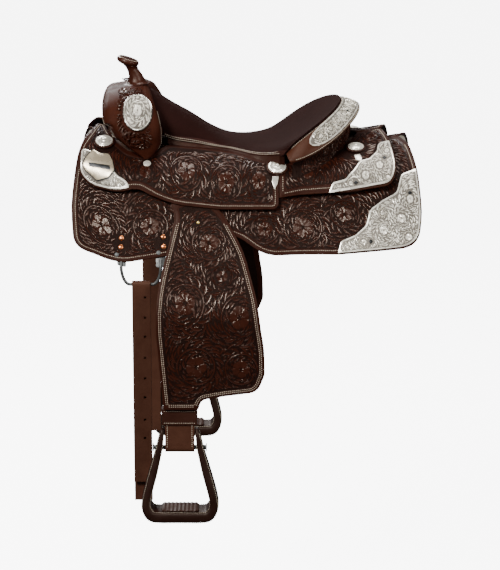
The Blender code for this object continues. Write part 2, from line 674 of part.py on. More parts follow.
# ---- rigging ------------------------------------------------------------------------------------------
def tube(name, points, radius, spec, count=8, parent=None):
    rings = []
    for i, p in enumerate(points):
        run = (points[min(i + 1, len(points) - 1)] - points[max(i - 1, 0)]).normalized()
        side = run.cross(Vector((0, 1, 0))).normalized()
        other = run.cross(side)
        turns = [2 * math.pi * k / count for k in range(count)]
        rings.append([p + radius * (side * math.cos(a) + other * math.sin(a)) for a in turns])
    return loft(name, rings, spec, parent)


def ring_point(across, drop):
    """Point on the ring's wire, which bends down from the skirt's slope to hang upright."""
    slope = math.radians(62)
    start = back(RING_X, RING_S, (RIGGING_PLATE[0] + RIGGING_PLATE[1]) / 2)
    lean = slope + min(1.0, max(0.0, drop) / (0.4 * RING_DEPTH)) * (math.pi / 2 - slope)
    return start + Vector((across, drop * math.cos(lean), -drop * math.sin(lean)))


def make_rigging():
    outline = rounded([
        (RING_X - 0.052, 0.234, 0.01), (RING_X - 0.048, 0.302, 0), (RING_X - 0.030, 0.302, 0),
        (RING_X - 0.030, 0.268, 0.01), (RING_X + 0.030, 0.262, 0.01), (RING_X + 0.030, 0.302, 0),
        (RING_X + 0.048, 0.302, 0), (RING_X + 0.052, 0.228, 0.01)])
    for side_name, side in SIDES:
        plate = sheet(f"rigging_ring_{side_name}", outline, *RIGGING_PLATE, STEEL, side)
        half = [(RING_HALF_WIDTH, -0.004)]
        for k in range(6):
            a = math.pi / 2 * k / 5
            reach = RING_HALF_FLAT + (RING_HALF_WIDTH - RING_HALF_FLAT) * math.cos(a)
            half.append((reach, RING_DEPTH * math.sin(a)))
        points = [ring_point(-x, drop) for x, drop in half]
        points += [ring_point(x, drop) for x, drop in reversed(half)]
        points = [Vector((p.x, side * p.y, p.z)) for p in points]
        wire = tube(f"ring_wire_{side_name}", points, RING_WIRE, STEEL)
        wire.hide_render = True
        wire.display_type = "WIRE"
        join = plate.modifiers.new("ring", "BOOLEAN")
        join.operation = "UNION"
        join.object = wire


def ring_bottom():
    return ring_point(0.0, RING_DEPTH)


def extruded(name, outline, x_low, x_high, spec, side, parent=None):
    """Outline of (y, z) points, extruded along X."""
    ends = [[Vector((x, side * y, z)) for y, z in outline] for x in (x_low, x_high)]
    return loft(name, ends, spec, parent)


def make_billets():
    """Long strap doubled over the ring: a band round the wire with two plies hanging down."""
    wire = ring_bottom()
    for side_name, side in SIDES:
        pivot = add_pivot(f"billet_pivot_{side_name}", (RING_X, side * wire.y, wire.z))
        inner = RING_WIRE + 0.0006
        outer = inner + LEATHER_PLY
        path = []
        for k in range(9):
            a = math.pi * k / 8
            path.append((wire.y + outer * math.cos(a), wire.z + outer * math.sin(a)))
        path.append((wire.y - outer, wire.z - BILLET_LENGTHS[1]))
        path.append((wire.y - outer + LEATHER_PLY, wire.z - BILLET_LENGTHS[1]))
        for k in range(9):
            a = math.pi * (1 - k / 8)
            path.append((wire.y + inner * math.cos(a), wire.z + inner * math.sin(a)))
        path.append((wire.y + outer - LEATHER_PLY, wire.z - BILLET_LENGTHS[0]))
        path.append((wire.y + outer, wire.z - BILLET_LENGTHS[0]))
        half = BILLET_WIDTH / 2
        extruded(f"billet_{side_name}", path, RING_X - half, RING_X + half, STRAP, side, pivot)


# ---- stirrup leathers, fenders and stirrups --------------------------------------------------------------
def hanging(x, s, h):
    """The fender's own surface: the back down to the skirt's edge, then a bend and a fall."""
    if s <= BEND_S:
        return back(x, s, h)
    slope = math.radians(62)
    edge = back(x, BEND_S, 0.0)
    turn = min((s - BEND_S) / BEND_RADIUS, HANG_ANGLE - slope)
    angle = slope + turn
    y = edge.y + BEND_RADIUS * (math.sin(angle) - math.sin(slope))
    z = edge.z - BEND_RADIUS * (math.cos(slope) - math.cos(angle))
    rest = (s - BEND_S) - turn * BEND_RADIUS
    y, z = y + rest * math.cos(angle), z - rest * math.sin(angle)
    return Vector((x, y + h * math.sin(angle), z + h * math.cos(angle)))


FENDER_OUTLINE = rounded([
    (-0.1500, LIFT_S + 0.0004, 0), (-0.159, 0.239, 0.3), (-0.180, 0.330, 0.3),
    (-0.191, 0.400, 0.3), (-0.185, 0.470, 0.3), (-0.174, FENDER_END, 0.0),
    (-0.104, FENDER_END, 0.0), (-0.098, 0.568, 0.02), (-0.050, 0.560, 0.1), (0.015, 0.552, 0.03),
    (0.030, 0.515, 0.03), (0.0285, 0.462, 0.2), (0.015, 0.378, 0.4), (-0.012, 0.274, 0.4),
    (-0.034, 0.231, 0.2), (-0.050, LIFT_S + 0.0004, 0)])
HANGER_OUTLINE = rounded([
    (-0.164, 0.168, 0.012), (-0.1500, LIFT_S - 0.0004, 0), (-0.050, LIFT_S - 0.0004, 0),
    (-0.078, 0.168, 0.012)])
FENDER_S_LINES = [0.0, CURVE_END, BEND_S] + [BEND_S + 0.0181 * k for k in (1, 2, 3)] + [0.70]


def make_hangers(side_name, side):
    """Fixed loop of the stirrup leather round the tree bar, open at its lower ends."""
    half = LEATHER_WIDTH / 2
    low, high = LEATHER_UNDER_BAR
    steps = [0.035, 0.070, 0.100, 0.128]
    over = [(s, bar_top(0, s) - 0.0040) for s in steps]
    under = [(s, high) for s in steps]
    inside = [(0.1435, 0.0232)] + list(reversed(over)) + [(0.024, 0.0232), (0.024, 0.0207)] + under
    outside = [(s, low) for s in reversed(steps)] + [(0.0205, low), (0.0190, 0.0215), (0.0215, 0.0260)]
    outside += [(s, h + 0.0030) for s, h in over] + [(0.1455, 0.0258)]
    ring = inside + [(CURVE_END, high), (0.186, high), (0.186, low), (CURVE_END, low)] + outside
    ends = []
    for x in (PIVOT_X - half, X_LINES[5], PIVOT_X + half):
        spots = [laid(x, s, h) for s, h in ring]
        ends.append([Vector((p.x, side * p.y, p.z)) for p in spots])
    loft(f"stirrup_leather_{side_name}", ends, STRAP)


def make_stirrup_side(side_name, side):
    slope = math.radians(62)
    normal = Vector((0, side * math.sin(slope), math.cos(slope)))
    place = back(PIVOT_X, PIVOT_S, (FENDER[0] + FENDER[1]) / 2)
    swing = add_pivot(f"fender_swing_pivot_{side_name}", (place.x, side * place.y, place.z),
                      Vector((0, 0, 1)).rotation_difference(normal).to_matrix().to_4x4())
    sheet(f"fender_hanger_{side_name}", HANGER_OUTLINE, *FENDER, TOOLED, side, parent=swing)
    line = back(PIVOT_X, LIFT_S, FENDER[1])
    lift = add_pivot(f"fender_lift_pivot_{side_name}", (line.x, side * line.y, line.z),
                     parent=swing)
    sheet(f"fender_{side_name}", FENDER_OUTLINE, *FENDER, TOOLED, side, place=hanging,
          lines=(X_LINES, FENDER_S_LINES), parent=lift)

    loop = []
    inner, outer = BOLT_RADIUS + 0.0007, BOLT_RADIUS + 0.0007 + LEATHER_PLY
    top = -0.390
    loop.append((STIRRUP_Y + outer, top - 0.02))
    for k in range(11):
        a = -math.pi * k / 10
        loop.append((STIRRUP_Y + outer * math.cos(a), BOLT_Z + outer * math.sin(a)))
    loop += [(STIRRUP_Y - outer, top), (STIRRUP_Y - inner, top)]
    for k in range(11):
        a = -math.pi * (1 - k / 10)
        loop.append((STIRRUP_Y + inner * math.cos(a), BOLT_Z + inner * math.sin(a)))
    loop.append((STIRRUP_Y + inner, top - 0.02))
    half = LEATHER_WIDTH / 2
    extruded(f"stirrup_strap_{side_name}", loop, STIRRUP_X - half, STIRRUP_X + half, STRAP, side,
             lift)
    make_keeper(side_name, side, lift, outer)
    stirrup = add_pivot(f"stirrup_pivot_{side_name}", (STIRRUP_X, side * STIRRUP_Y, BOLT_Z),
                        parent=lift)
    make_stirrup(side_name, side, stirrup)


def make_keeper(side_name, side, parent, ply_outside):
    """Closed band of leather round both plies, under the fender's tail."""
    half_x, half_y = LEATHER_WIDTH / 2 + 0.0008, ply_outside + 0.0006
    wall_x, wall_y = 0.0060, 0.0026
    rings = []
    wx, wy = half_x + wall_x, half_y + wall_y
    outside = rounded([(-wx, -wy, 0.004), (wx, -wy, 0.004), (wx, wy, 0.004), (-wx, wy, 0.004)],
                      math.radians(45))
    high = hanging(0.0, FENDER_END, 0.0).z - 0.0008
    low = high - KEEPER_HEIGHT
    for z in (high, low):
        rings.append([Vector((STIRRUP_X + p.x, side * (STIRRUP_Y + p.y), z)) for p in outside])
    inside = rounded([(-half_x, -half_y, 0.002), (half_x, -half_y, 0.002),
                      (half_x, half_y, 0.002), (-half_x, half_y, 0.002)], math.radians(45))
    for z in (low, high):
        rings.append([Vector((STIRRUP_X + p.x, side * (STIRRUP_Y + p.y), z)) for p in inside])
    loft(f"keeper_{side_name}", rings, TOOLED, parent, close_loop=True)


# Half of the stirrup's centre line: (out from the middle, below the bolt, thickness, depth on Y).
STIRRUP_LINE = [(0.0345, -0.0415, 0.0065, 0.024), (0.0380, -0.021, 0.011, 0.028),
                (0.0415, 0.0, 0.014, 0.031), (0.0475, 0.025, 0.016, 0.035),
                (0.0545, 0.053, 0.018, 0.041), (0.0622, 0.082, 0.018, 0.048),
                (0.0680, 0.107, 0.018, 0.054), (0.0680, 0.125, 0.021, 0.056),
                (0.0580, 0.1405, 0.025, 0.058), (0.0400, 0.1435, 0.026, 0.058)]
TREAD_DROP = 0.1435


def make_stirrup(side_name, side, parent):
    left = [(-x, drop, thick, deep) for x, drop, thick, deep in STIRRUP_LINE]
    middle = [(0.0, TREAD_DROP, 0.026, 0.058)]
    path = left + middle + [(-x, drop, thick, deep) for x, drop, thick, deep in reversed(left)]
    rings = []
    for i, (x, drop, thick, deep) in enumerate(path):
        x0, drop0 = path[max(i - 1, 0)][:2]
        x1, drop1 = path[min(i + 1, len(path) - 1)][:2]
        run = Vector((x1 - x0, 0, drop0 - drop1)).normalized()
        out = Vector((run.z, 0, -run.x))
        spots = [(-0.5, -0.36), (-0.38, -0.5), (0.38, -0.5), (0.5, -0.36),
                 (0.5, 0.36), (0.38, 0.5), (-0.38, 0.5), (-0.5, 0.36)]
        centre = Vector((STIRRUP_X + x, side * STIRRUP_Y, BOLT_Z - drop))
        rings.append([centre + out * (thick * a) + Vector((0, deep * b, 0)) for a, b in spots])
    frame = loft(f"stirrup_frame_{side_name}", rings, PLAIN, parent)
    bore = bar_along_x(f"bolt_bore_{side_name}", side, 0.07, BOLT_RADIUS + 0.0004, 0.0, parent)
    bore.hide_render = True
    bore.display_type = "WIRE"
    drill = frame.modifiers.new("bolt bore", "BOOLEAN")
    drill.operation = "DIFFERENCE"
    drill.object = bore
    bar_along_x(f"stirrup_bolt_{side_name}", side, 0.0550, BOLT_RADIUS, 0.0030, parent)
    outline = rounded([(-0.038, -0.026, 0.010), (0.038, -0.026, 0.010), (0.038, 0.026, 0.010),
                       (-0.038, 0.026, 0.010)], math.radians(45))
    rings = []
    tread_top = BOLT_Z - TREAD_DROP + 0.013
    for z, grow in ((tread_top + 0.0005, 1.0), (tread_top + 0.0025, 1.0), (tread_top + 0.0035, 0.97)):
        rings.append([Vector((STIRRUP_X + p.x * grow, side * (STIRRUP_Y + p.y * grow), z))
                      for p in outline])
    loft(f"stirrup_tread_{side_name}", rings, PLAIN, parent)


def bar_along_x(name, side, half_length, radius, head, parent):
    """Round bar along X through the stirrup's top, with a head outside each leg."""
    centre = Vector((STIRRUP_X - half_length, STIRRUP_Y, BOLT_Z))
    if head:
        wide = radius + 0.0035
        profile = [(0, 0), (wide, 0.0), (wide, 0.002), (radius, 0.0021),
                   (radius, 2 * half_length - 0.0021), (wide, 2 * half_length - 0.002),
                   (wide, 2 * half_length), (0, 2 * half_length)]
    else:
        profile = [(0, 0), (radius, 0), (radius, 2 * half_length), (0, 2 * half_length)]
    return turned(name, centre, Vector((1, 0, 0)), profile, STEEL, side, 16, parent)


def main():
    clear_scene()
    make_bars()
    make_leathers()
    make_silver()
    make_fork()
    make_swell_plates()
    make_horn()
    make_seat()
    make_cantle()
    make_rigging()
    make_billets()
    for side_name, side in SIDES:
        make_hangers(side_name, side)
        make_stirrup_side(side_name, side)


main()
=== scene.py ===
"""Visual model of the western saddle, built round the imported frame."""
import math
import random

import bmesh
import bpy
import numpy as np
from mathutils import Matrix, Vector
from mathutils.geometry import delaunay_2d_cdt


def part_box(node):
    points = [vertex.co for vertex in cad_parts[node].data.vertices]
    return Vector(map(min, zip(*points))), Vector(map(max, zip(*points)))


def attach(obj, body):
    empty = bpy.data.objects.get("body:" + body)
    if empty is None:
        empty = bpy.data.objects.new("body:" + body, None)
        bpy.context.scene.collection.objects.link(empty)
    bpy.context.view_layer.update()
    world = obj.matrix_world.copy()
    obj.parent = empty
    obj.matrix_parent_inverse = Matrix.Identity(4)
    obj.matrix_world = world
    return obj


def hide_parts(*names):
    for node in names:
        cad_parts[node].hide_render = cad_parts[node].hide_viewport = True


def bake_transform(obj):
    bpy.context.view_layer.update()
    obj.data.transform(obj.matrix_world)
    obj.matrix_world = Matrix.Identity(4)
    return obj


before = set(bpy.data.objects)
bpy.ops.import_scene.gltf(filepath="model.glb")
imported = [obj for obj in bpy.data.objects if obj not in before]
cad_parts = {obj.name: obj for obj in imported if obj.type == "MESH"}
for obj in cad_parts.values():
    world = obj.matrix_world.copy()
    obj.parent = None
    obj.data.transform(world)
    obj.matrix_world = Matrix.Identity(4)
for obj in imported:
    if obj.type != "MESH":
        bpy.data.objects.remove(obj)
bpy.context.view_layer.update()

SIDES = (("left", -1.0), ("right", 1.0))

# ---- camera ----
CAMERA_ELEVATION = math.radians(15)
CAMERA_DISTANCE = 5.0
CAMERA_AIM = Vector((0.0, 0.0, -0.262))
LENS_MM, SENSOR_MM = 149.3, 36.0
FLOOR_Z = -1.25


def make_camera():
    data = bpy.data.cameras.new("camera")
    data.sensor_fit, data.sensor_height = "VERTICAL", SENSOR_MM
    data.sensor_width = SENSOR_MM * 500 / 570
    data.lens = LENS_MM
    data.clip_end = 60.0
    camera = bpy.data.objects.new("camera", data)
    bpy.context.scene.collection.objects.link(camera)
    back_off = Vector((0, -math.cos(CAMERA_ELEVATION), math.sin(CAMERA_ELEVATION)))
    camera.location = CAMERA_AIM + CAMERA_DISTANCE * back_off
    camera.rotation_euler = (math.pi / 2 - CAMERA_ELEVATION, 0, 0)
    bpy.context.scene.camera = camera


make_camera()


# ---- node materials ----
class Value:
    """A socket or a number, with arithmetic that adds math nodes."""

    def __init__(self, net, socket):
        self.net, self.socket = net, socket

    def __add__(self, other):
        return self.net.math("ADD", self, other)

    def __radd__(self, other):
        return self.net.math("ADD", other, self)

    def __sub__(self, other):
        return self.net.math("SUBTRACT", self, other)

    def __rsub__(self, other):
        return self.net.math("SUBTRACT", other, self)

    def __mul__(self, other):
        return self.net.math("MULTIPLY", self, other)

    def __rmul__(self, other):
        return self.net.math("MULTIPLY", other, self)


class Net:
    """One Principled material and the calls that build its nodes."""

    def __init__(self, name, roughness=0.5, metallic=0.0):
        self.material = bpy.data.materials.new(name)
        self.material.use_nodes = True
        self.nodes, self.links = self.material.node_tree.nodes, self.material.node_tree.links
        self.shader = self.nodes["Principled BSDF"]
        self.set("Roughness", roughness)
        self.set("Metallic", metallic)

    def plug(self, value, socket):
        if isinstance(value, Value):
            self.links.new(value.socket, socket)
        elif value is not None:
            socket.default_value = value

    def set(self, name, value):
        self.plug(value, self.shader.inputs[name])

    def math(self, operation, *values):
        node = self.nodes.new("ShaderNodeMath")
        node.operation = operation
        for value, socket in zip(values, node.inputs):
            self.plug(value, socket)
        return Value(self, node.outputs[0])

    def stretched(self, vector, factors):
        node = self.nodes.new("ShaderNodeVectorMath")
        node.operation = "MULTIPLY"
        self.plug(vector, node.inputs[0])
        self.plug(factors, node.inputs[1])
        return Value(self, node.outputs["Vector"])

    def ramp(self, value, low, high, to_low=0.0, to_high=1.0):
        node = self.nodes.new("ShaderNodeMapRange")
        node.interpolation_type = "SMOOTHSTEP"
        for given, name in ((value, "Value"), (low, "From Min"), (high, "From Max"),
                            (to_low, "To Min"), (to_high, "To Max")):
            self.plug(given, node.inputs[name])
        return Value(self, node.outputs["Result"])

    def bell(self, value, centre, width):
        """1 at the centre, 0 a width away."""
        return self.ramp(self.math("ABSOLUTE", value - centre), 0.0, width, 1.0, 0.0)

    def noise(self, vector, scale, detail=2.0, roughness=0.5):
        node = self.nodes.new("ShaderNodeTexNoise")
        self.plug(vector, node.inputs["Vector"])
        node.inputs["Scale"].default_value = scale
        node.inputs["Detail"].default_value = detail
        node.inputs["Roughness"].default_value = roughness
        return Value(self, node.outputs["Fac"])

    def grain(self, vector, scale, flat=False):
        """Distance to the nearest of scattered points."""
        node = self.nodes.new("ShaderNodeTexVoronoi")
        node.voronoi_dimensions = "2D" if flat else "3D"
        self.plug(vector, node.inputs["Vector"])
        node.inputs["Scale"].default_value = scale
        return Value(self, node.outputs["Distance"])

    def mix(self, factor, one, two):
        node = self.nodes.new("ShaderNodeMix")
        node.data_type = "RGBA"
        self.plug(factor, node.inputs[0])
        for value, socket in ((one, node.inputs[6]), (two, node.inputs[7])):
            self.plug(value if isinstance(value, Value) else (*value, 1.0), socket)
        return Value(self, node.outputs[2])

    def uv(self):
        return Value(self, self.nodes.new("ShaderNodeUVMap").outputs[0])

    def place(self):
        return Value(self, self.nodes.new("ShaderNodeTexCoord").outputs["Object"])

    def attribute(self, name):
        node = self.nodes.new("ShaderNodeAttribute")
        node.attribute_name = name
        return Value(self, node.outputs["Fac"])

    def bump(self, height, distance, strength=1.0, under=None):
        node = self.nodes.new("ShaderNodeBump")
        node.inputs["Strength"].default_value = strength
        node.inputs["Distance"].default_value = distance
        self.plug(height, node.inputs["Height"])
        self.plug(under, node.inputs["Normal"])
        return Value(self, node.outputs["Normal"])


WARM_GLOSS = (1.0, 0.86, 0.72, 1.0)


def tooled_leather(name, raised, border=0.0115):
    """Leather with a stippled ground inside its border, or the raised parts of its carving."""
    net = Net(name, 0.36)
    uv = net.uv()
    edge = net.attribute("edge")
    inside = net.ramp(edge, border, border + 0.0010)
    blotch = net.noise(uv, 45.0, 4.0, 0.6)
    plain = net.mix(blotch, (0.015, 0.0028, 0.0013), (0.036, 0.0082, 0.0040))
    if raised:
        shade = net.mix(blotch, (0.017, 0.0034, 0.0016), (0.044, 0.0105, 0.0050))
        height = net.noise(uv, 420.0, 3.0) * 0.5
    else:
        stipple = net.grain(uv, 620.0, flat=True)
        ground = net.mix(stipple, (0.0036, 0.0008, 0.0005), (0.0150, 0.0032, 0.0016))
        shade = net.mix(inside, plain, ground)
        worn = net.ramp(edge, 0.0, 0.0024, 0.6, 0.0) * net.noise(uv, 140.0, 3.0)
        shade = net.mix(worn, shade, (0.060, 0.022, 0.011))
        groove = net.bell(edge, border - 0.0010, 0.0011) + net.bell(edge, 0.0030, 0.0008) * 0.6
        height = stipple * inside * 0.55 + (1.0 - inside) * 0.6 - groove * 0.6
    net.set("Base Color", shade)
    relief = net.bump(height, 0.0010, 0.9)
    grain = net.grain(net.place(), 900.0)
    net.set("Normal", net.bump(grain, 0.00018, 0.4, relief))
    rough = net.ramp(net.noise(uv, 35.0, 3.0), 0.25, 0.75, 0.22, 0.38)
    net.set("Roughness", rough + (-0.04 if raised else 0.18 + inside * 0.07))
    net.set("Specular IOR Level", 0.38 if raised else 0.12)
    net.set("Specular Tint", WARM_GLOSS)
    return net.material


def plain_leather(name, dark, light, roughness=0.42, grain_scale=750.0, coat=0.2, gloss=0.3):
    net = Net(name, roughness)
    place = net.place()
    mottled = net.noise(place, 38.0, 5.0, 0.6)
    net.set("Base Color", net.mix(mottled, dark, light))
    grain = net.grain(place, grain_scale)
    creases = net.noise(place, 260.0, 4.0, 0.65)
    net.set("Normal", net.bump(grain + creases * 0.9, 0.0005, 0.55))
    net.set("Roughness", net.ramp(mottled, 0.3, 0.75, roughness - 0.08, roughness + 0.1))
    net.set("Specular IOR Level", gloss)
    net.set("Specular Tint", WARM_GLOSS)
    net.set("Coat Weight", coat)
    net.set("Coat Roughness", 0.3)
    return net.material


def engraved_silver(name, rim=0.0030, raised=False, tint=(1.0, 1.0, 1.0)):
    """Silver with an oxidised ground inside its rim, or the bright parts of its engraving."""
    net = Net(name, 0.24, 0.55)
    uv = net.uv()
    edge = net.attribute("edge")
    inside = net.ramp(edge, rim, rim + 0.0004)
    grain = net.grain(uv, 1100.0, flat=True)
    # Large darker patches in the silver's colour are painted reflections; the same noise also varies the
    # roughness.
    reflection_patches = net.noise(net.place(), 55.0, 4.0)
    silver = net.mix(reflection_patches, *(tuple(c * k for c, k in zip(shade, tint))
                              for shade in ((0.70, 0.64, 0.53), (0.95, 0.90, 0.78))))
    if raised:
        cuts = net.ramp(net.math("SINE", net.noise(uv, 160.0, 1.0) * 210.0), 0.55, 0.95)
        dark = cuts * 0.25
    else:
        dark = inside * (0.78 + grain * 0.2) + net.bell(edge, rim, 0.0005) * 0.4
    net.set("Base Color", net.mix(dark, silver, (0.050, 0.038, 0.026)))
    net.set("Roughness", net.ramp(reflection_patches, 0.3, 0.7, 0.22, 0.38) + dark * 0.25)
    net.set("Normal", net.bump(1.0 - dark, 0.0004, 0.7))
    return net.material


def metal(name, colour, roughness, scratch=0.25, metallic=1.0):
    net = Net(name, roughness, metallic)
    place = net.place()
    worn = net.noise(place, 90.0, 5.0, 0.65)
    dark = tuple(0.55 * c for c in colour)
    net.set("Base Color", net.mix(worn, dark, colour))
    net.set("Roughness", net.ramp(worn, 0.3, 0.75, roughness - 0.08, roughness + 0.16))
    net.set("Normal", net.bump(net.noise(place, 700.0, 2.0), 0.0002, scratch))
    return net.material


def thread(name):
    net = Net(name, 0.7)
    twist = net.noise(net.place(), 420.0, 3.0)
    net.set("Base Color", net.mix(twist, (0.26, 0.21, 0.15), (0.56, 0.48, 0.37)))
    net.set("Normal", net.bump(twist, 0.0003, 0.5))
    return net.material


def wool(name):
    net = Net(name, 1.0)
    place = net.place()
    curl = net.noise(place, 170.0, 4.0, 0.7)
    net.set("Base Color", net.mix(curl, (0.34, 0.27, 0.19), (0.72, 0.65, 0.52)))
    net.set("Normal", net.bump(curl + net.noise(place, 700.0, 3.0) * 0.5, 0.0025, 0.9))
    net.set("Sheen Weight", 0.4)
    return net.material


def wood(name):
    net = Net(name, 0.6)
    place = net.place()
    rings = net.noise(net.stretched(place, (6.0, 60.0, 60.0)), 3.0, 5.0, 0.6)
    net.set("Base Color", net.mix(rings, (0.035, 0.015, 0.007), (0.080, 0.036, 0.017)))
    net.set("Normal", net.bump(rings, 0.0006, 0.5))
    return net.material


TOOLED = tooled_leather("stippled_leather", False)
CARVED = tooled_leather("carved_leather", True)
SWELL_LEATHER = plain_leather("swell_leather", (0.018, 0.0036, 0.0017), (0.052, 0.0125, 0.0058),
                              0.60, 650.0, 0.0, 0.06)
PLAIN = plain_leather("smooth_leather", (0.014, 0.0028, 0.0014), (0.036, 0.0082, 0.0040), 0.42,
                      750.0, 0.0)
HORN_LEATHER = plain_leather("horn_leather", (0.018, 0.0034, 0.0016), (0.052, 0.0120, 0.0054), 0.30,
                             650.0, 0.05)
ROLL_LEATHER = plain_leather("roll_leather", (0.026, 0.0062, 0.0028), (0.066, 0.019, 0.0080), 0.42,
                             650.0, 0.0, 0.22)
STRAP = plain_leather("strap_leather", (0.040, 0.0115, 0.0058), (0.076, 0.026, 0.0130), 0.62,
                      500.0, 0.0)
SILVER = engraved_silver("oxidised_silver")
SMOOTH_SILVER = engraved_silver("smooth_silver", 0.5)
CUT_SILVER = engraved_silver("engraved_silver", 0.0, True)
AGED_SILVER = engraved_silver("aged_silver", 0.5, False, (0.62, 0.55, 0.45))
BRIGHT = metal("polished_silver", (0.90, 0.87, 0.80), 0.2)
STEEL = metal("gunmetal", (0.125, 0.128, 0.122), 0.48, 0.25, 0.45)
COPPER = metal("copper", (0.86, 0.30, 0.12), 0.3)
GOLD = metal("gilt", (0.86, 0.60, 0.22), 0.3)
# Blacked steel for the screws and the inlay, and also the dark sheet of painted shadow round the badge.
BLACK_STEEL_AND_SHADOW = metal("blacked_steel_and_painted_shadow", (0.05, 0.05, 0.05), 0.4)
THREAD = thread("cream_thread")
WOOL = wool("sheepskin_wool")
WOOD = wood("bare_wood")
TREAD = plain_leather("tread_leather", (0.018, 0.007, 0.0045), (0.045, 0.018, 0.012), 0.6, 400.0,
                      0.0, 0.15)


# ---- the saddle's surfaces, as in the CAD ----
SPINE_GAP, CURVE_END = 0.015, 0.155
FRONT_END, REAR_END, FLAT_FROM, FLAT_TO = -0.36, 0.35, -0.24, 0.06
BEND_S, BEND_RADIUS, HANG_ANGLE = 0.369, 0.12, math.radians(88)
SKIRT_LOW, SKIRT_TOP = 0.0126, 0.0172
SLOPE = math.radians(62)


def ease(t):
    t = min(1.0, max(0.0, t))
    return t * t * (3.0 - 2.0 * t)


def along(points, x):
    if x <= points[0][0]:
        return points[0][1]
    if x >= points[-1][0]:
        return points[-1][1]
    k = max(i for i in range(len(points) - 1) if points[i][0] <= x)

    def slope(i):
        a, b = points[max(i - 1, 0)], points[min(i + 1, len(points) - 1)]
        return (b[1] - a[1]) / (b[0] - a[0])

    (x0, v0), (x1, v1) = points[k], points[k + 1]
    t, w = (x - x0) / (x1 - x0), x1 - x0
    return (v0 * (2 * t**3 - 3 * t**2 + 1) + v1 * (3 * t**2 - 2 * t**3)
            + w * slope(k) * (t**3 - 2 * t**2 + t) + w * slope(k + 1) * (t**3 - t**2))


def rounded(corners, step=math.radians(9)):
    outline = []
    count = len(corners)
    for i, (x, s, radius) in enumerate(corners):
        here = Vector((x, s))
        before = Vector(corners[i - 1][:2]) - here
        after = Vector(corners[(i + 1) % count][:2]) - here
        turn = math.pi - before.angle(after)
        if radius <= 0.0 or turn < 0.05:
            outline.append(here)
            continue
        reach = min(radius * math.tan(turn / 2), 0.49 * before.length, 0.49 * after.length)
        start, end = here + before.normalized() * reach, here + after.normalized() * reach
        parts = max(2, round(turn / step))
        for j in range(parts + 1):
            t = j / parts
            outline.append(start * (1 - t)**2 + here * (2 * t * (1 - t)) + end * t**2)
    return outline


def zone(x, front, middle, rear):
    if x < FLAT_FROM:
        return middle + (front - middle) * ease((FLAT_FROM - x) / (FLAT_FROM - FRONT_END))
    return middle + (rear - middle) * ease((x - FLAT_TO) / (REAR_END - FLAT_TO))


def back(x, s, h):
    """Point at height h above the horse's back, on the +Y side."""
    rise = 0.062 * (x / FRONT_END)**2 if x < 0 else 0.046 * (x / REAR_END)**2
    top = Vector((SPINE_GAP, 0.006 + rise))
    start = math.radians(zone(x, 12, 0, 6))
    slope = math.radians(zone(x, 64, 62, 58))
    join = Vector((zone(x, 0.115, 0.153, 0.182), zone(x, -0.008, -0.038, -0.050)))
    down = Vector((math.cos(slope), -math.sin(slope)))
    if s >= CURVE_END:
        place, run = join + down * (s - CURVE_END), down
    else:
        reach = 0.36 * (join - top).length
        a, b = top + reach * Vector((math.cos(start), -math.sin(start))), join - reach * down
        t = s / CURVE_END
        u = 1 - t
        place = top * u**3 + a * (3 * u * u * t) + b * (3 * u * t * t) + join * t**3
        run = ((a - top) * (u * u) + (b - a) * (2 * u * t) + (join - b) * (t * t)).normalized()
    place = place + h * Vector((-run.y, run.x))
    return Vector((x, place.x, place.y))


def hanging(x, s, h):
    """The fender's surface: the back down to the bend, then a curve and a fall."""
    if s <= BEND_S:
        return back(x, s, h)
    edge = back(x, BEND_S, 0.0)
    turn = min((s - BEND_S) / BEND_RADIUS, HANG_ANGLE - SLOPE)
    angle = SLOPE + turn
    y = edge.y + BEND_RADIUS * (math.sin(angle) - math.sin(SLOPE))
    z = edge.z - BEND_RADIUS * (math.cos(SLOPE) - math.cos(angle))
    rest = (s - BEND_S) - turn * BEND_RADIUS
    y, z = y + rest * math.cos(angle), z - rest * math.sin(angle)
    return Vector((x, y + h * math.sin(angle), z + h * math.cos(angle)))


def jockey_low(x, s):
    edge = 0.0258 - 0.0078 * (ease((FLAT_FROM - x) / 0.06) + ease((x - FLAT_TO) / 0.06))
    return along([(0.05, 0.0385), (0.075, 0.0364), (0.10, 0.0342), (0.128, 0.0336),
                  (CURVE_END, 0.0268), (0.175, edge)], s)


def above_jockey(height):
    return lambda x, s: jockey_low(x, s) + 0.0040 + height


def skin_height(x, y, height):
    low, high = 0.0, 0.30
    for _ in range(24):
        middle = (low + high) / 2
        short = back(x, middle, height(x, middle)).y < abs(y)
        low, high = (middle, high) if short else (low, middle)
    return back(x, low, height(x, low)).z


# ---- mesh helpers ----
def at(height, x, s):
    return height(x, s) if callable(height) else height


def finish_piece(name, verts, faces, material, body, side=1.0, uv=None, edge=None, nodes=(),
                 slot=None, smooth=35.0, ride=True):
    """Makes the object, mirrored to its side, and rides it on its body."""
    points = [(p[0], side * p[1], p[2]) for p in verts]
    if side < 0:
        faces = [tuple(reversed(f)) for f in faces]
    mesh = bpy.data.meshes.new(name)
    mesh.from_pydata(points, [], faces)
    if uv is not None:
        layer = mesh.uv_layers.new(name="UVMap")
        loops = np.empty(len(mesh.loops), dtype=np.int32)
        mesh.loops.foreach_get("vertex_index", loops)
        layer.data.foreach_set("uv", np.asarray(uv, dtype=np.float32)[loops].ravel())
    if edge is not None:
        data = mesh.attributes.new("edge", "FLOAT", "POINT")
        data.data.foreach_set("value", np.asarray(edge, dtype=np.float32))
    mesh.materials.append(material)
    mesh.shade_smooth()
    mesh.set_sharp_from_angle(angle=math.radians(smooth))
    thing = bpy.data.objects.new(name, mesh)
    bpy.context.scene.collection.objects.link(thing)
    fix_normals(thing)
    if ride:
        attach(thing, body)
    if nodes:
        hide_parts(*nodes)
    return thing


def resampled(outline, step):
    """The closed outline with no side longer than step."""
    points = []
    for a, b in zip(outline, outline[1:] + outline[:1]):
        parts = max(1, math.ceil((b - a).length / step))
        points += [a.lerp(b, k / parts) for k in range(parts)]
    return points


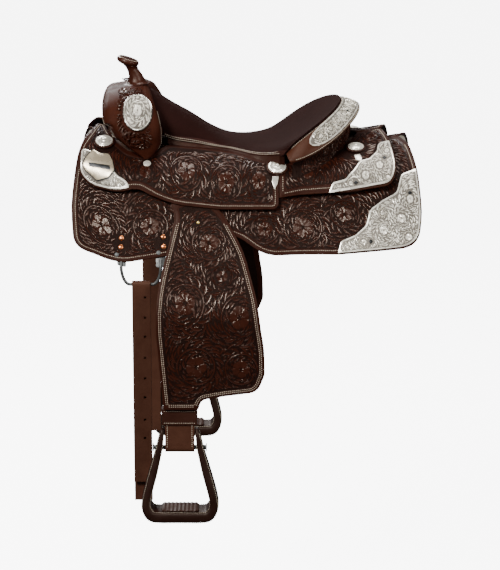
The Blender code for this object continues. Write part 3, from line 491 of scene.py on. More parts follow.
def normals_out(outline):
    """Unit normals in the (x, s) plane that point out of the closed outline."""
    area = sum(a.cross(b) for a, b in zip(outline, outline[1:] + outline[:1]))
    turn = 1.0 if area > 0 else -1.0
    found = []
    for i in range(len(outline)):
        run = (outline[(i + 1) % len(outline)] - outline[i - 1])
        found.append(Vector((run.y, -run.x)).normalized() * turn)
    return found


def distances(points, outline):
    """Distance of each point to the closed outline."""
    p = np.asarray(points, dtype=float)
    a = np.asarray([tuple(q) for q in outline])
    b = np.roll(a, -1, axis=0)
    best = np.full(len(p), 1e9)
    for start, end in zip(a, b):
        run = end - start
        size = max(run @ run, 1e-12)
        t = np.clip(((p - start) @ run) / size, 0, 1)
        best = np.minimum(best, np.hypot(*(p - start - t[:, None] * run).T))
    return best


def inside(points, outline):
    p = np.asarray(points, dtype=float)
    a = np.asarray([tuple(q) for q in outline])
    b = np.roll(a, -1, axis=0)
    hit = np.zeros(len(p), dtype=bool)
    for (x0, y0), (x1, y1) in zip(a, b):
        crosses = (y0 > p[:, 1]) != (y1 > p[:, 1])
        if y0 != y1:
            hit ^= crosses & (p[:, 0] < (x1 - x0) * (p[:, 1] - y0) / (y1 - y0) + x0)
    return hit


def panel(name, outline, low, high, material, body, side, place=back, cell=0.0075, lip=0.0016,
          nodes=(), slot=None, ride=True):
    """Leather or metal sheet on a surface, with a rounded edge, cut to an (x, s) outline."""
    outline = resampled(outline, cell)
    outward = normals_out(outline)
    inner = [p - n * lip for p, n in zip(outline, outward)]
    lows = np.min([tuple(p) for p in inner], axis=0)
    highs = np.max([tuple(p) for p in inner], axis=0)
    grid = np.stack(np.meshgrid(np.arange(lows[0], highs[0], cell),
                                np.arange(lows[1], highs[1], cell)), -1).reshape(-1, 2)
    grid = grid[inside(grid, inner)]
    grid = grid[distances(grid, inner) > 0.45 * cell]
    flat = [tuple(p) for p in inner] + [tuple(p) for p in grid]
    loop = [(i, (i + 1) % len(inner)) for i in range(len(inner))]
    spots, _, tris, origin, _, _ = delaunay_2d_cdt([Vector(p) for p in flat], loop, [], 1, 1e-7)
    ring = {}
    for i, sources in enumerate(origin):
        for source in sources:
            if source < len(inner):
                ring[source] = i
    ring = [ring[k] for k in range(len(inner))]
    count = len(spots)
    deep = distances([tuple(p) for p in spots], outline)
    verts, uv, edge = [], [], []
    for height in (high, low):
        for k, p in enumerate(spots):
            verts.append(place(p.x, p.y, at(height, p.x, p.y)))
            uv.append((p.x, p.y))
            edge.append(deep[k])
    faces = []
    for a, b, c in tris:
        faces.append((a, c, b))
        faces.append((a + count, b + count, c + count))
    rings = [ring]
    steps = 4
    for j in range(1, steps):
        turn = math.pi * j / steps
        here = []
        for p, n in zip(inner, outward):
            q = p + n * (lip * math.sin(turn))
            top, bottom = at(high, p.x, p.y), at(low, p.x, p.y)
            h = (top + bottom) / 2 + (top - bottom) / 2 * math.cos(turn)
            here.append(len(verts))
            verts.append(place(q.x, q.y, h))
            uv.append((q.x, q.y))
            edge.append(lip * (1 - math.sin(turn)))
        rings.append(here)
    rings.append([k + count for k in ring])
    turning = sum(a.cross(b) for a, b in zip(inner, inner[1:] + inner[:1])) > 0
    for one, two in zip(rings, rings[1:]):
        for k in range(len(one)):
            m = (k + 1) % len(one)
            quad = (one[k], one[m], two[m], two[k])
            faces.append(quad if turning else tuple(reversed(quad)))
    return finish_piece(name, verts, faces, material, body, side, uv, edge, nodes, slot, ride=ride)


def loft(name, rings, material, body, nodes=(), slot=None, smooth=35.0, edge=None, strip=False):
    """Skin over rings with the same count of points. In a strip, a ring is a row of points and the
    same row underneath, reversed, and the ends close with quads."""
    verts, uv, faces = [], [], []
    width = len(rings[0])
    reach = 0.0
    for i, ring in enumerate(rings):
        if i:
            reach += (Vector(ring[0]) - Vector(rings[i - 1][0])).length
        round_ring = 0.0
        for k, p in enumerate(ring):
            if k:
                round_ring += (Vector(p) - Vector(ring[k - 1])).length
            verts.append(p)
            uv.append((reach, round_ring))
    last = (len(rings) - 1) * width
    for i in range(0, last, width):
        for k in range(width):
            m = (k + 1) % width
            faces.append((i + k, i + m, i + width + m, i + width + k))
    if strip:
        for k in range(width // 2 - 1):
            quad = (k, width - 1 - k, width - 2 - k, k + 1)
            faces.append(quad)
            faces.append(tuple(last + i for i in reversed(quad)))
    else:
        faces.append(tuple(reversed(range(width))))
        faces.append(tuple(range(last, last + width)))
    return finish_piece(name, verts, faces, material, body, 1.0, uv, edge, nodes, slot, smooth)


def fix_normals(thing):
    bm = bmesh.new()
    bm.from_mesh(thing.data)
    bmesh.ops.recalc_face_normals(bm, faces=bm.faces)
    bm.to_mesh(thing.data)
    bm.free()


def stitch_line(points, normals, pitch=0.0041, length=0.0030, width=0.00085, lift=0.00025):
    """Grains of thread along a path of 3-D points: returns vertices and faces."""
    sizes = [0.0]
    for a, b in zip(points, points[1:]):
        sizes.append(sizes[-1] + (b - a).length)
    count = max(1, int(sizes[-1] / pitch))
    verts, faces = [], []
    k = 0
    for i in range(count):
        spot = (i + 0.5) * sizes[-1] / count
        while k < len(sizes) - 2 and sizes[k + 1] < spot:
            k += 1
        t = (spot - sizes[k]) / max(1e-9, sizes[k + 1] - sizes[k])
        centre = points[k].lerp(points[k + 1], t)
        run = (points[k + 1] - points[k]).normalized()
        up = normals[k].lerp(normals[k + 1], t).normalized()
        across = run.cross(up).normalized()
        centre = centre + up * lift
        base = len(verts)
        verts.append(centre - run * (length / 2) - up * 0.0004)
        for u, grow in ((-0.3, 0.8), (0.3, 0.8)):
            for c, d in ((1, 0), (0, 1), (-1, 0), (0, -0.6)):
                verts.append(centre + run * (length * u) + (across * c + up * d) * (width * grow))
        verts.append(centre + run * (length / 2) - up * 0.0004)
        for j in range(4):
            m = (j + 1) % 4
            faces.append((base, base + 1 + m, base + 1 + j))
            faces.append((base + 1 + j, base + 1 + m, base + 5 + m, base + 5 + j))
            faces.append((base + 5 + j, base + 5 + m, base + 9))
    return verts, faces


class Stitching:
    """Collects stitch lines per body and side, then makes one object of them."""

    def __init__(self):
        self.groups = {}

    def line(self, key, points, normals, **sizes):
        verts, faces = self.groups.setdefault(key, ([], []))
        more, grains = stitch_line(points, normals, **sizes)
        base = len(verts)
        verts += more
        faces += [tuple(base + k for k in f) for f in grains]

    def on_surface(self, key, path, height, place=back, **sizes):
        points, normals = [], []
        for p in path:
            h = at(height, p.x, p.y)
            spot = place(p.x, p.y, h)
            points.append(spot)
            normals.append((place(p.x, p.y, h + 0.01) - spot).normalized())
        self.line(key, points, normals, **sizes)


STITCHES = Stitching()


def inset_path(outline, distance, keep=None, step=0.006):
    """Runs of points inside the outline at one distance, cut to those that keep() likes."""
    outline = resampled(outline, step)
    moved = [p - n * distance for p, n in zip(outline, normals_out(outline))]
    far = distances([tuple(p) for p in moved], outline)
    good = [far[i] > 0.93 * distance and (keep is None or keep(p)) for i, p in enumerate(moved)]
    runs, run = [], []
    start = next((i for i in range(len(good)) if not good[i]), None)
    order = range(len(moved)) if start is None else [(start + i) % len(moved)
                                                     for i in range(len(moved))]
    for i in order:
        if good[i]:
            run.append(moved[i])
        elif run:
            runs.append(run)
            run = []
    if run:
        runs.append(run + ([run[0]] if start is None else []))
    return [r for r in runs if len(r) > 3]


# ---- skirts, fleece, jockeys ----
SKIRT_OUTLINE = rounded([
    (-0.318, 0.002, 0.01), (-0.337, 0.020, 0.03), (-0.352, 0.100, 0.3), (-0.364, 0.213, 0.3),
    (-0.356, 0.304, 0.055), (-0.290, 0.300, 0.1), (-0.171, 0.281, 0.1), (-0.110, 0.272, 0.1),
    (-0.060, 0.228, 0.04), (-0.018, 0.244, 0.06), (0.032, 0.281, 0.08), (0.176, 0.272, 0.2),
    (0.338, 0.244, 0.06), (0.347, 0.170, 0.2), (0.340, 0.100, 0.3), (0.326, 0.030, 0.1),
    (0.308, -0.0115, 0.01), (0.190, -0.0115, 0.01), (0.170, 0.002, 0.01)])
JOCKEY_OUTLINE = rounded([
    (-0.345, 0.092, 0.02), (-0.327, 0.052, 0.08), (-0.314, 0.010, 0.02), (-0.300, 0.008, 0.02),
    (-0.288, 0.040, 0.05), (-0.272, 0.062, 0.02), (-0.250, 0.078, 0.02), (-0.215, 0.086, 0.02),
    (-0.190, 0.076, 0.02), (-0.166, 0.048, 0.03), (-0.100, 0.050, 0.1), (-0.037, 0.062, 0.1),
    (0.020, 0.088, 0.1), (0.058, 0.096, 0.0), (0.0580, 0.1870, 0.016), (-0.060, 0.187, 0.2),
    (-0.151, 0.177, 0.15), (-0.191, 0.161, 0.08), (-0.222, 0.148, 0.04), (-0.240, 0.148, 0.03),
    (-0.283, 0.159, 0.1), (-0.322, 0.167, 0.05), (-0.347, 0.152, 0.06)])
REAR_JOCKEY_OUTLINE = rounded([
    (0.0592, 0.096, 0.0), (0.100, 0.094, 0.0), (0.150, 0.078, 0.06), (0.205, 0.034, 0.06),
    (0.222, -0.0115, 0.0), (0.272, -0.0115, 0.01), (0.285, 0.040, 0.1), (0.297, 0.105, 0.06),
    (0.286, 0.133, 0.03), (0.201, 0.147, 0.2), (0.101, 0.156, 0.2), (0.0592, 0.163, 0.0)])
STITCH_IN = 0.0080


def make_leathers():
    for side_name, side in SIDES:
        panel(f"skirt_leather_{side_name}", SKIRT_OUTLINE, SKIRT_LOW, SKIRT_TOP, TOOLED, "saddle",
              side, nodes=[f"skirt_{side_name}"], slot="tooled_leather", lip=0.0022)
        for key, outline in (("seat_jockey", JOCKEY_OUTLINE), ("rear_jockey", REAR_JOCKEY_OUTLINE)):
            panel(f"{key}_leather_{side_name}", outline, jockey_low, above_jockey(0.0), TOOLED,
                  "saddle", side, nodes=[f"{key}_{side_name}"], slot="tooled_leather", lip=0.0020)
        group = ("saddle", side)
        for run in inset_path(SKIRT_OUTLINE, STITCH_IN, lambda p: p.y > 0.03):
            STITCHES.on_surface(group, run, SKIRT_TOP)
        for run in inset_path(JOCKEY_OUTLINE, STITCH_IN - 0.001,
                              lambda p: p.y > 0.125 or p.x < -0.285):
            STITCHES.on_surface(group, run, above_jockey(0.0))
        for run in inset_path(REAR_JOCKEY_OUTLINE, STITCH_IN - 0.001,
                              lambda p: p.y > 0.125 or p.x > 0.25):
            STITCHES.on_surface(group, run, above_jockey(0.0))


def make_fleece():
    outline = [p - n * 0.003 for p, n in zip(SKIRT_OUTLINE, normals_out(SKIRT_OUTLINE))]
    for side_name, side in SIDES:
        draw = random.Random(11)
        tufts = lambda x, s: 0.0010 + 0.0022 * draw.random()
        panel(f"sheepskin_{side_name}", outline, tufts, 0.0118, WOOL, "saddle", side, cell=0.0065,
              nodes=[f"fleece_{side_name}"], slot="sheepskin", lip=0.004)


# ---- silver ----
FRONT_PLATE = rounded([
    (-0.3425, 0.098, 0.01), (-0.320, 0.100, 0.01), (-0.284, 0.098, 0.01), (-0.276, 0.128, 0.02),
    (-0.250, 0.136, 0.02), (-0.242, 0.1455, 0.004), (-0.283, 0.156, 0.1), (-0.321, 0.1635, 0.04),
    (-0.3440, 0.149, 0.04)])
REAR_JOCKEY_PLATE = rounded([
    (0.158, 0.1515, 0.002), (0.166, 0.136, 0.01), (0.192, 0.130, 0.015), (0.210, 0.112, 0.015),
    (0.222, 0.094, 0.015), (0.243, 0.088, 0.015), (0.258, 0.072, 0.015), (0.262, 0.052, 0.012),
    (0.284, 0.048, 0.003), (0.2945, 0.105, 0.06), (0.284, 0.130, 0.03), (0.201, 0.1445, 0.2)])
SKIRT_PLATE = rounded([
    (0.176, 0.2695, 0.002), (0.182, 0.244, 0.012), (0.211, 0.229, 0.02), (0.233, 0.207, 0.015),
    (0.242, 0.172, 0.02), (0.264, 0.153, 0.015), (0.296, 0.138, 0.015), (0.306, 0.106, 0.012),
    (0.3365, 0.096, 0.003), (0.3440, 0.170, 0.2), (0.3355, 0.241, 0.06)])
PLATE_RISE, PLATE_THICK = 0.0004, 0.0013


def make_plates():
    for side_name, side in SIDES:
        for key, outline, base in (
                ("front_plate", FRONT_PLATE, above_jockey(PLATE_RISE)),
                ("rear_jockey_plate", REAR_JOCKEY_PLATE, above_jockey(PLATE_RISE)),
                ("skirt_plate", SKIRT_PLATE, SKIRT_TOP + PLATE_RISE)):
            top = (lambda x, s, b=base: at(b, x, s) + PLATE_THICK)
            panel(f"silver_{key}_{side_name}", outline, base, top, SILVER, "saddle", side,
                  cell=0.006, lip=0.0008, nodes=[f"{key}_{side_name}"], slot="engraved_silver")


# ---- round fittings: conchos, screws, studs ----
def dish(name, centre, normal, rings, material, body, side, count=40, wave=None, nodes=(),
         slot=None):
    """Closed turned piece; rings are (radius, height), and wave(angle) scales radii from ring 2 on."""
    spin = Vector((0, 0, 1)).rotation_difference(normal).to_matrix()
    verts, uv, edge, faces = [centre + spin @ Vector((0, 0, rings[0][1]))], [(0.0, 0.0)], [0.01], []
    outer = max(r for r, _ in rings)
    for radius, height in rings[1:-1]:
        for k in range(count):
            a = 2 * math.pi * k / count
            r = radius * (wave(a, radius / outer) if wave else 1.0)
            spot = Vector((r * math.cos(a), r * math.sin(a), height))
            verts.append(centre + spin @ spot)
            uv.append((spot.x, spot.y))
            edge.append(outer - radius)
    verts.append(centre + spin @ Vector((0, 0, rings[-1][1])))
    uv.append((0.0, 0.0))
    edge.append(0.01)
    last = len(verts) - 1
    rows = len(rings) - 2
    for k in range(count):
        m = (k + 1) % count
        faces.append((0, 1 + m, 1 + k))
        for j in range(rows - 1):
            a, b = 1 + j * count, 1 + (j + 1) * count
            faces.append((a + k, a + m, b + m, b + k))
        top = 1 + (rows - 1) * count
        faces.append((top + k, top + m, last))
    return finish_piece(name, verts, faces, material, body, side, uv, edge, nodes, slot)


def surface_frame(x, s, height, place=back):
    h = at(height, x, s)
    centre = place(x, s, h)
    return centre, (place(x, s, h + 0.01) - centre).normalized()


CONCHOS = {"front": (-0.297, 0.071, 0.0175), "middle": (0.055, 0.113, 0.0185),
           "rear": (0.216, 0.061, 0.0165)}


def make_conchos():
    for side_name, side in SIDES:
        for key, (x, s, radius) in CONCHOS.items():
            base, normal = surface_frame(x, s, above_jockey(0.0003))
            rim = radius * 1.2
            dish(f"rosette_{key}_{side_name}", base, normal,
                 [(0, 0), (0.9 * rim, 0), (rim, 0.0006), (rim, 0.0018), (0.93 * rim, 0.0024), (0, 0.0024)],
                 PLAIN, "saddle", side, 64, lambda a, t: 1 + 0.035 * t * math.cos(16 * a),
                 slot="plain_leather")
            base, normal = surface_frame(x, s, above_jockey(0.0028))
            r = radius
            rings = [(0, 0), (0.9 * r, 0), (r, 0.0005), (r, 0.0012), (0.94 * r, 0.0021),
                     (0.88 * r, 0.0019), (0.80 * r, 0.0020), (0.74 * r, 0.0033), (0.55 * r, 0.0043),
                     (0.38 * r, 0.0047), (0.33 * r, 0.0040), (0.27 * r, 0.0052), (0.12 * r, 0.0060),
                     (0, 0.0061)]
            dish(f"silver_concho_{key}_{side_name}", base, normal, rings, SMOOTH_SILVER, "saddle",
                 side, 60, lambda a, t: 1 + 0.022 * t**4 * math.cos(20 * a),
                 nodes=[f"concho_{key}_{side_name}"], slot="engraved_silver")


def stud(name, x, s, height, radius, material, body, side, place=back, tall=0.5, count=24):
    base, normal = surface_frame(x, s, height, place)
    profile = [(0, 0)] + [(radius * math.cos(a), radius * tall * math.sin(a))
                          for a in (0.0, 0.35, 0.75, 1.15)] + [(0, radius * tall)]
    return dish(name, base, normal, profile, material, body, side, count, slot="rigging_steel")


BADGE = rounded([
    (-0.3250, 0.1060, 0.004), (-0.3190, 0.0960, 0.005), (-0.3040, 0.1010, 0.02),
    (-0.2870, 0.0960, 0.005), (-0.2790, 0.1070, 0.008), (-0.2740, 0.1240, 0.006),
    (-0.2860, 0.1390, 0.01), (-0.3100, 0.1520, 0.004), (-0.3340, 0.1420, 0.01),
    (-0.3400, 0.1330, 0.006), (-0.3330, 0.1180, 0.008)])
# A dark sheet a little wider than the badge, laid under it: painted shadow round the badge's edge.
BADGE_SHADOW_OUTLINE = [p + n * 0.0016 for p, n in zip(BADGE, normals_out(BADGE))]
BADGE_BAR = rounded([(-0.3275, 0.1265, 0.001), (-0.2835, 0.1190, 0.001), (-0.2820, 0.1262, 0.001),
                     (-0.3262, 0.1338, 0.001)])
MIDDLE_TIP = rounded([(0.0455, 0.1300, 0.001), (0.0580, 0.1300, 0.001), (0.0560, 0.1390, 0.003),
                      (0.0500, 0.1500, 0.001), (0.0440, 0.1390, 0.003)])
REAR_TIP = rounded([(0.2110, 0.0815, 0.002), (0.2230, 0.0790, 0.002), (0.2270, 0.0880, 0.003),
                    (0.2260, 0.0945, 0.002), (0.2150, 0.0930, 0.004)])
# name, outline, height over the jockey, thickness, material, size of its mesh, rounding of its edge,
# slot
APPLIED = (
    ("silver_badge", BADGE, 0.0019, 0.0016, AGED_SILVER, 0.004, 0.0007, "engraved_silver"),
    # The badge's painted shadow: a dark sheet that shows round its edge.
    ("badge_painted_shadow", BADGE_SHADOW_OUTLINE, 0.0016, 0.0010, BLACK_STEEL_AND_SHADOW, 0.004, 0.0004, "engraved_silver"),
    ("badge_inlay", BADGE_BAR, 0.0036, 0.0005, BLACK_STEEL_AND_SHADOW, 0.004, 0.0003, "rigging_steel"),
    ("silver_tip_middle", MIDDLE_TIP, 0.0005, 0.0014, SMOOTH_SILVER, 0.003, 0.0006, "engraved_silver"),
    ("silver_tip_rear", REAR_TIP, 0.0005, 0.0014, SMOOTH_SILVER, 0.003, 0.0006, "engraved_silver"))
ON_PLATE = PLATE_RISE + PLATE_THICK
PLATE_SCREWS = ((0.2724, 0.0881, above_jockey(ON_PLATE)), (0.2132, 0.1342, above_jockey(ON_PLATE)),
                (0.3222, 0.1389, SKIRT_TOP + ON_PLATE), (0.2424, 0.2397, SKIRT_TOP + ON_PLATE))


def make_small_fittings():
    for side_name, side in SIDES:
        for k, (x, s) in enumerate(((-0.259, 0.246), (-0.260, 0.265), (-0.175, 0.241),
                                    (-0.174, 0.261))):
            stud(f"copper_rivet_{k}_{side_name}", x, s, SKIRT_TOP, 0.0058, COPPER, "saddle", side)
        for k, (x, s) in enumerate(((-0.268, 0.283), (-0.184, 0.274))):
            stud(f"steel_screw_{k}_{side_name}", x, s, SKIRT_TOP, 0.0048, STEEL, "saddle", side,
                 tall=0.35)
        base, normal = surface_frame(-0.2085, 0.1056, above_jockey(0.0002))
        r = 0.0078
        dish(f"swell_stud_{side_name}", base, normal,
             [(0, 0), (r, 0), (r, 0.0012), (0.8 * r, 0.0018), (0.7 * r, 0.0015), (0.5 * r, 0.0034),
              (0, 0.0042)], SMOOTH_SILVER, "saddle", side, 32, slot="engraved_silver")
        stud(f"fender_stud_{side_name}", -0.1047, 0.2135, 0.0250, 0.0036, GOLD, f"fender_{side_name}",
             side, hanging)
        for k, (x, s, base) in enumerate(PLATE_SCREWS):
            stud(f"plate_screw_{k}_{side_name}", x, s, base, 0.0052, BLACK_STEEL_AND_SHADOW, "saddle", side,
                 tall=0.3, count=4)
        for key, outline, height, thick, material, cell, lip, slot in APPLIED:
            panel(f"{key}_{side_name}", outline, above_jockey(height), above_jockey(height + thick),
                  material, "saddle", side, cell=cell, lip=lip, slot=slot)


# ---- fork, swell cover, horn ----
FORK_X, FORK_COVER = -0.244, 0.0035
SWELL = [(0.0, 0.168), (0.045, 0.1665), (0.085, 0.158), (0.120, 0.140), (0.143, 0.112),
         (0.148, 0.086), (0.144, 0.064)]
GULLET = [(0.0, 0.112), (0.030, 0.109), (0.050, 0.103), (0.060, 0.097), (0.065, 0.092),
          (0.067, 0.087), (0.068, 0.080)]
SWELL_FRONT = [(0.0, -0.303), (0.5, -0.300), (0.8, -0.287), (1.0, -0.266)]
SWELL_REAR = [(0.0, -0.2055), (0.35, -0.196), (0.7, -0.181), (1.0, -0.180)]
SWELL_CORNER, SWELL_RAKE = 0.020, 0.10
COVER_FOOT_S = (0.048, 0.100)
KNOTS = [k / (len(SWELL) - 1) for k in range(len(SWELL))]


def arch(table, t):
    return Vector([along(list(zip(KNOTS, [p[i] for p in table])), t) for i in (0, 1)])


def fork_path(turn, inset, fine=5, corner=SWELL_CORNER):
    t = abs(turn)
    outer, inner = arch(SWELL, t), arch(GULLET, t)
    front, rear = along(SWELL_FRONT, t) + inset, along(SWELL_REAR, t) - inset
    reach = (outer - inner).length
    outer = outer - (outer - inner) * (inset / reach)
    side = -1.0 if turn < 0 else 1.0
    path = [(front, p) for p in (0.0, 0.2, 0.42)]
    for k in range(fine + 1):
        a = math.pi / 2 * k / fine
        path.append((front + corner * (1 - math.cos(a)), 1 - corner / reach * (1 - math.sin(a))))
    for u, lift in ((0.25, 1.02), (0.5, 1.03), (0.75, 1.02)):
        path.append((front + corner + (rear - front - 2 * corner) * u, lift))
    for k in range(fine + 1):
        a = math.pi / 2 * (1 - k / fine)
        path.append((rear - corner * (1 - math.cos(a)), 1 - corner / reach * (1 - math.sin(a))))
    path += [(rear, p) for p in (0.42, 0.2, 0.0)]
    points = []
    for x, part in path:
        spot = inner.lerp(outer, part)
        rake = SWELL_RAKE * (x - FORK_X) * part * (1.0 - t)
        points.append(Vector((x, side * spot.x, spot.y + rake)))
    return points


def foot_path(side, inset, height):
    points = []
    for p in fork_path(side, inset):
        reach = min(1.0, max(0.0, (abs(p.y) - 0.068) / (0.144 - 0.068)))
        s_in, s_out = COVER_FOOT_S
        q = back(p.x, s_in + (s_out - s_in - inset) * reach, height)
        points.append(Vector((q.x, side * q.y, q.z)))
    return points


FLAP_LEAN = 0.268
FLAP_FRONT = [(0.0025, -0.2165), (0.0058, -0.2230), (0.0103, -0.2330), (0.0163, -0.2430),
              (0.0243, -0.2540), (0.0343, -0.2640), (0.0503, -0.2740), (0.0733, -0.2840)]
FLAP_REAR = [(0.0025, -0.2075), (0.0043, -0.2010), (0.0083, -0.1940), (0.0143, -0.1880),
             (0.0223, -0.1825), (0.0343, -0.1785), (0.0503, -0.1740), (0.0733, -0.1740)]


def swell_ring(w, inset):
    """w runs -1..1; the last part on each side falls from the arch's end to the jockey."""
    side = -1.0 if w < 0 else 1.0
    if abs(w) <= 0.8:
        ring = fork_path(w / 0.8 * 6 / 7, inset)
    else:
        top, foot = fork_path(side * 6 / 7, inset), foot_path(side, inset, 0.0412)
        ring = [a.lerp(b, (abs(w) - 0.8) / 0.2) for a, b in zip(top, foot)]
    widest = max(ring, key=lambda p: abs(p.y))
    level = widest.z - FLAP_LEAN * abs(widest.y)
    if level < FLAP_FRONT[-1][0]:
        front = max(ring[0].x, along(FLAP_FRONT, level) + inset)
        rear = max(min(ring[-1].x, along(FLAP_REAR, level) - inset), front + 0.001)
        low, high = ring[0].x, ring[-1].x
        for p in ring:
            p.x = front + (p.x - low) / (high - low) * (rear - front)
    return ring


def make_swell():
    rings, edge = [], []
    spans = [k / 30 for k in range(-24, 25)]
    ends = [0.8 + 0.194 * math.sin(math.pi / 2 * k / 18) for k in range(1, 19)]
    stations = [-w for w in reversed(ends)] + spans + ends
    for w in stations:
        outer, inner = swell_ring(w, 0.0), swell_ring(w, FORK_COVER)
        rings.append(outer + list(reversed(inner)))
        sizes = [0.0]
        for a, b in zip(outer, outer[1:]):
            sizes.append(sizes[-1] + (b - a).length)
        tail = (1.0 - abs(w)) / 0.2 * 0.045
        near = [min(v, sizes[-1] - v, tail) for v in sizes]
        edge += near + [0.0] * len(inner)
    loft("swell_leather", rings, SWELL_LEATHER, "saddle", nodes=["swell_cover"], edge=edge,
         slot="tooled_leather", strip=True)
    for _, side in SIDES:
        path = sorted((w for w in stations if w * side > 0.45 and abs(w) < 0.985), key=abs)
        chain = []
        for end, step in ((3, 1), (-4, -1)):
            run = [swell_ring(w, 0.0)[end].lerp(swell_ring(w, 0.0)[end + step], 0.3) for w in path]
            chain += [Vector((p.x, abs(p.y), p.z)) for p in run][::step]
        centre = Vector((FORK_X, 0.09, 0.09))
        normals = [(p - centre).normalized() for p in chain]
        STITCHES.line(("saddle", side), chain, normals, lift=0.0006)


def swell_place(x, t, h):
    spot, ahead = arch(SWELL, t), arch(SWELL, t + 0.01)
    run = (ahead - spot).normalized()
    bulge = 0.0026 * (1 - ((x - FORK_X) / 0.032)**2)
    return Vector((x, spot.x - run.y * (h + bulge), spot.y + run.x * (h + bulge)))


OVAL_X, OVAL_T, OVAL_HALF_X, OVAL_HALF_T = -0.2270, 0.545, 0.0295, 0.200


def oval_dome(x, s):
    away = ((x - OVAL_X)**2 + (s - OVAL_T)**2) / OVAL_HALF_X**2
    return 0.0042 + 0.0022 * max(0.0, 1 - away)


def make_oval_plates():
    turns = [2 * math.pi * k / 64 for k in range(64)]
    outline = [Vector((OVAL_X + OVAL_HALF_X * math.cos(a), OVAL_T + OVAL_HALF_T * math.sin(a)))
               for a in turns]
    scale = OVAL_HALF_T / OVAL_HALF_X

    def stretched(x, s, h):
        return swell_place(x, OVAL_T + (s - OVAL_T) * scale, h)

    outline = [Vector((p.x, OVAL_T + (p.y - OVAL_T) / scale)) for p in outline]

    for side_name, side in SIDES:
        panel(f"oval_silver_{side_name}", outline, 0.0008, oval_dome, SILVER, "saddle", side,
              place=stretched, cell=0.003, lip=0.0009, nodes=[f"swell_plate_{side_name}"],
              slot="engraved_silver")
        rope = []
        for a in turns:
            x, s = OVAL_X + OVAL_HALF_X * 0.97 * math.cos(a), OVAL_T + OVAL_HALF_X * 0.97 * math.sin(a)
            rope.append(stretched(x, s, 0.0044))
        tube_piece(f"oval_rim_{side_name}", rope, 0.0013, BRIGHT, "saddle", side, closed=True,
                   slot="engraved_silver", twist=0.25)


def tube_piece(name, points, radius, material, body, side=1.0, closed=False, count=10, nodes=(),
               slot=None, twist=0.0):
    """Tube along points; twist makes the radius swell in beats like rope."""
    verts, faces, uv = [], [], []
    total = len(points)
    up = None
    reach = 0.0
    for i, p in enumerate(points):
        ahead = points[(i + 1) % total] if closed else points[min(i + 1, total - 1)]
        behind = points[i - 1] if closed or i else points[0]
        run = (ahead - behind).normalized()
        if up is None:
            up = run.orthogonal().normalized()
        up = (up - run * up.dot(run)).normalized()
        other = run.cross(up)
        r = radius * (1 + twist * math.cos(math.pi * i))
        for k in range(count):
            a = 2 * math.pi * k / count
            verts.append(p + (up * math.cos(a) + other * math.sin(a)) * r)
            uv.append((reach, radius * a))
        reach += (ahead - p).length
    for i in range(total if closed else total - 1):
        j = (i + 1) % total
        for k in range(count):
            m = (k + 1) % count
            faces.append((i * count + k, i * count + m, j * count + m, j * count + k))
    if not closed:
        faces.append(tuple(reversed(range(count))))
        faces.append(tuple(range((total - 1) * count, total * count)))
    return finish_piece(name, verts, faces, material, body, side, uv, None, nodes, slot)


HORN_BASE, HORN_TOP = Vector((-0.2335, 0.0, 0.1700)), Vector((-0.2500, 0.0, 0.2105))
HORN_CAP_RADIUS, HORN_CAP_TILT = 0.0235, math.radians(18)


def make_horn():
    rings = []
    widths = [(0.0, 0.0275), (0.06, 0.0215), (0.16, 0.0180), (0.3, 0.0160), (0.5, 0.0143),
              (0.7, 0.0136), (0.85, 0.0145), (0.97, 0.0185)]
    bend = Vector((HORN_BASE.x + 0.001, 0, (HORN_BASE.z + HORN_TOP.z) / 2))
    for k in range(25):
        t = k / 24
        centre = HORN_BASE * (1 - t)**2 + bend * (2 * t * (1 - t)) + HORN_TOP * t**2
        lean = HORN_CAP_TILT * t**2
        other = Vector((math.cos(lean), 0, -math.sin(lean)))
        r = along(widths, t)
        ring = []
        for j in range(32):
            a = 2 * math.pi * j / 32
            p = centre + other * (r * math.cos(a)) + Vector((0, r * math.sin(a), 0))
            if t < 0.1:
                p.z += 0.1 * (p.x - HORN_BASE.x) * (1 - t / 0.1)
            ring.append(p)
        rings.append(ring)
    loft("horn_neck_leather", rings, HORN_LEATHER, "saddle", nodes=["horn_wrap", "horn_core"],
         slot="plain_leather", smooth=50)
    normal = Vector((math.sin(HORN_CAP_TILT), 0, math.cos(HORN_CAP_TILT)))
    r = HORN_CAP_RADIUS
    dish("horn_cap_leather", HORN_TOP + Vector((-0.004, 0, 0)), normal,
         [(0, -0.002), (0.5 * r, -0.0015), (0.8 * r, 0.0005), (0.94 * r, 0.0030), (r, 0.0058),
          (0.99 * r, 0.0085), (0.94 * r, 0.0108), (0.86 * r, 0.0120), (0.80 * r, 0.0117),
          (0.60 * r, 0.0127), (0.3 * r, 0.0134), (0, 0.0135)], HORN_LEATHER, "saddle", 1.0, 48,
         nodes=["horn_cap"], slot="plain_leather")
    spin = Vector((0, 0, 1)).rotation_difference(normal).to_matrix()
    ring = []
    for k in range(49):
        a = 2 * math.pi * k / 48
        spot = Vector((0.83 * r * math.cos(a), 0.83 * r * math.sin(a), 0.0120))
        ring.append(HORN_TOP + Vector((-0.004, 0, 0)) + spin @ spot)
    STITCHES.line(("saddle", 1.0), ring, [normal] * len(ring), length=0.0022, pitch=0.0032)


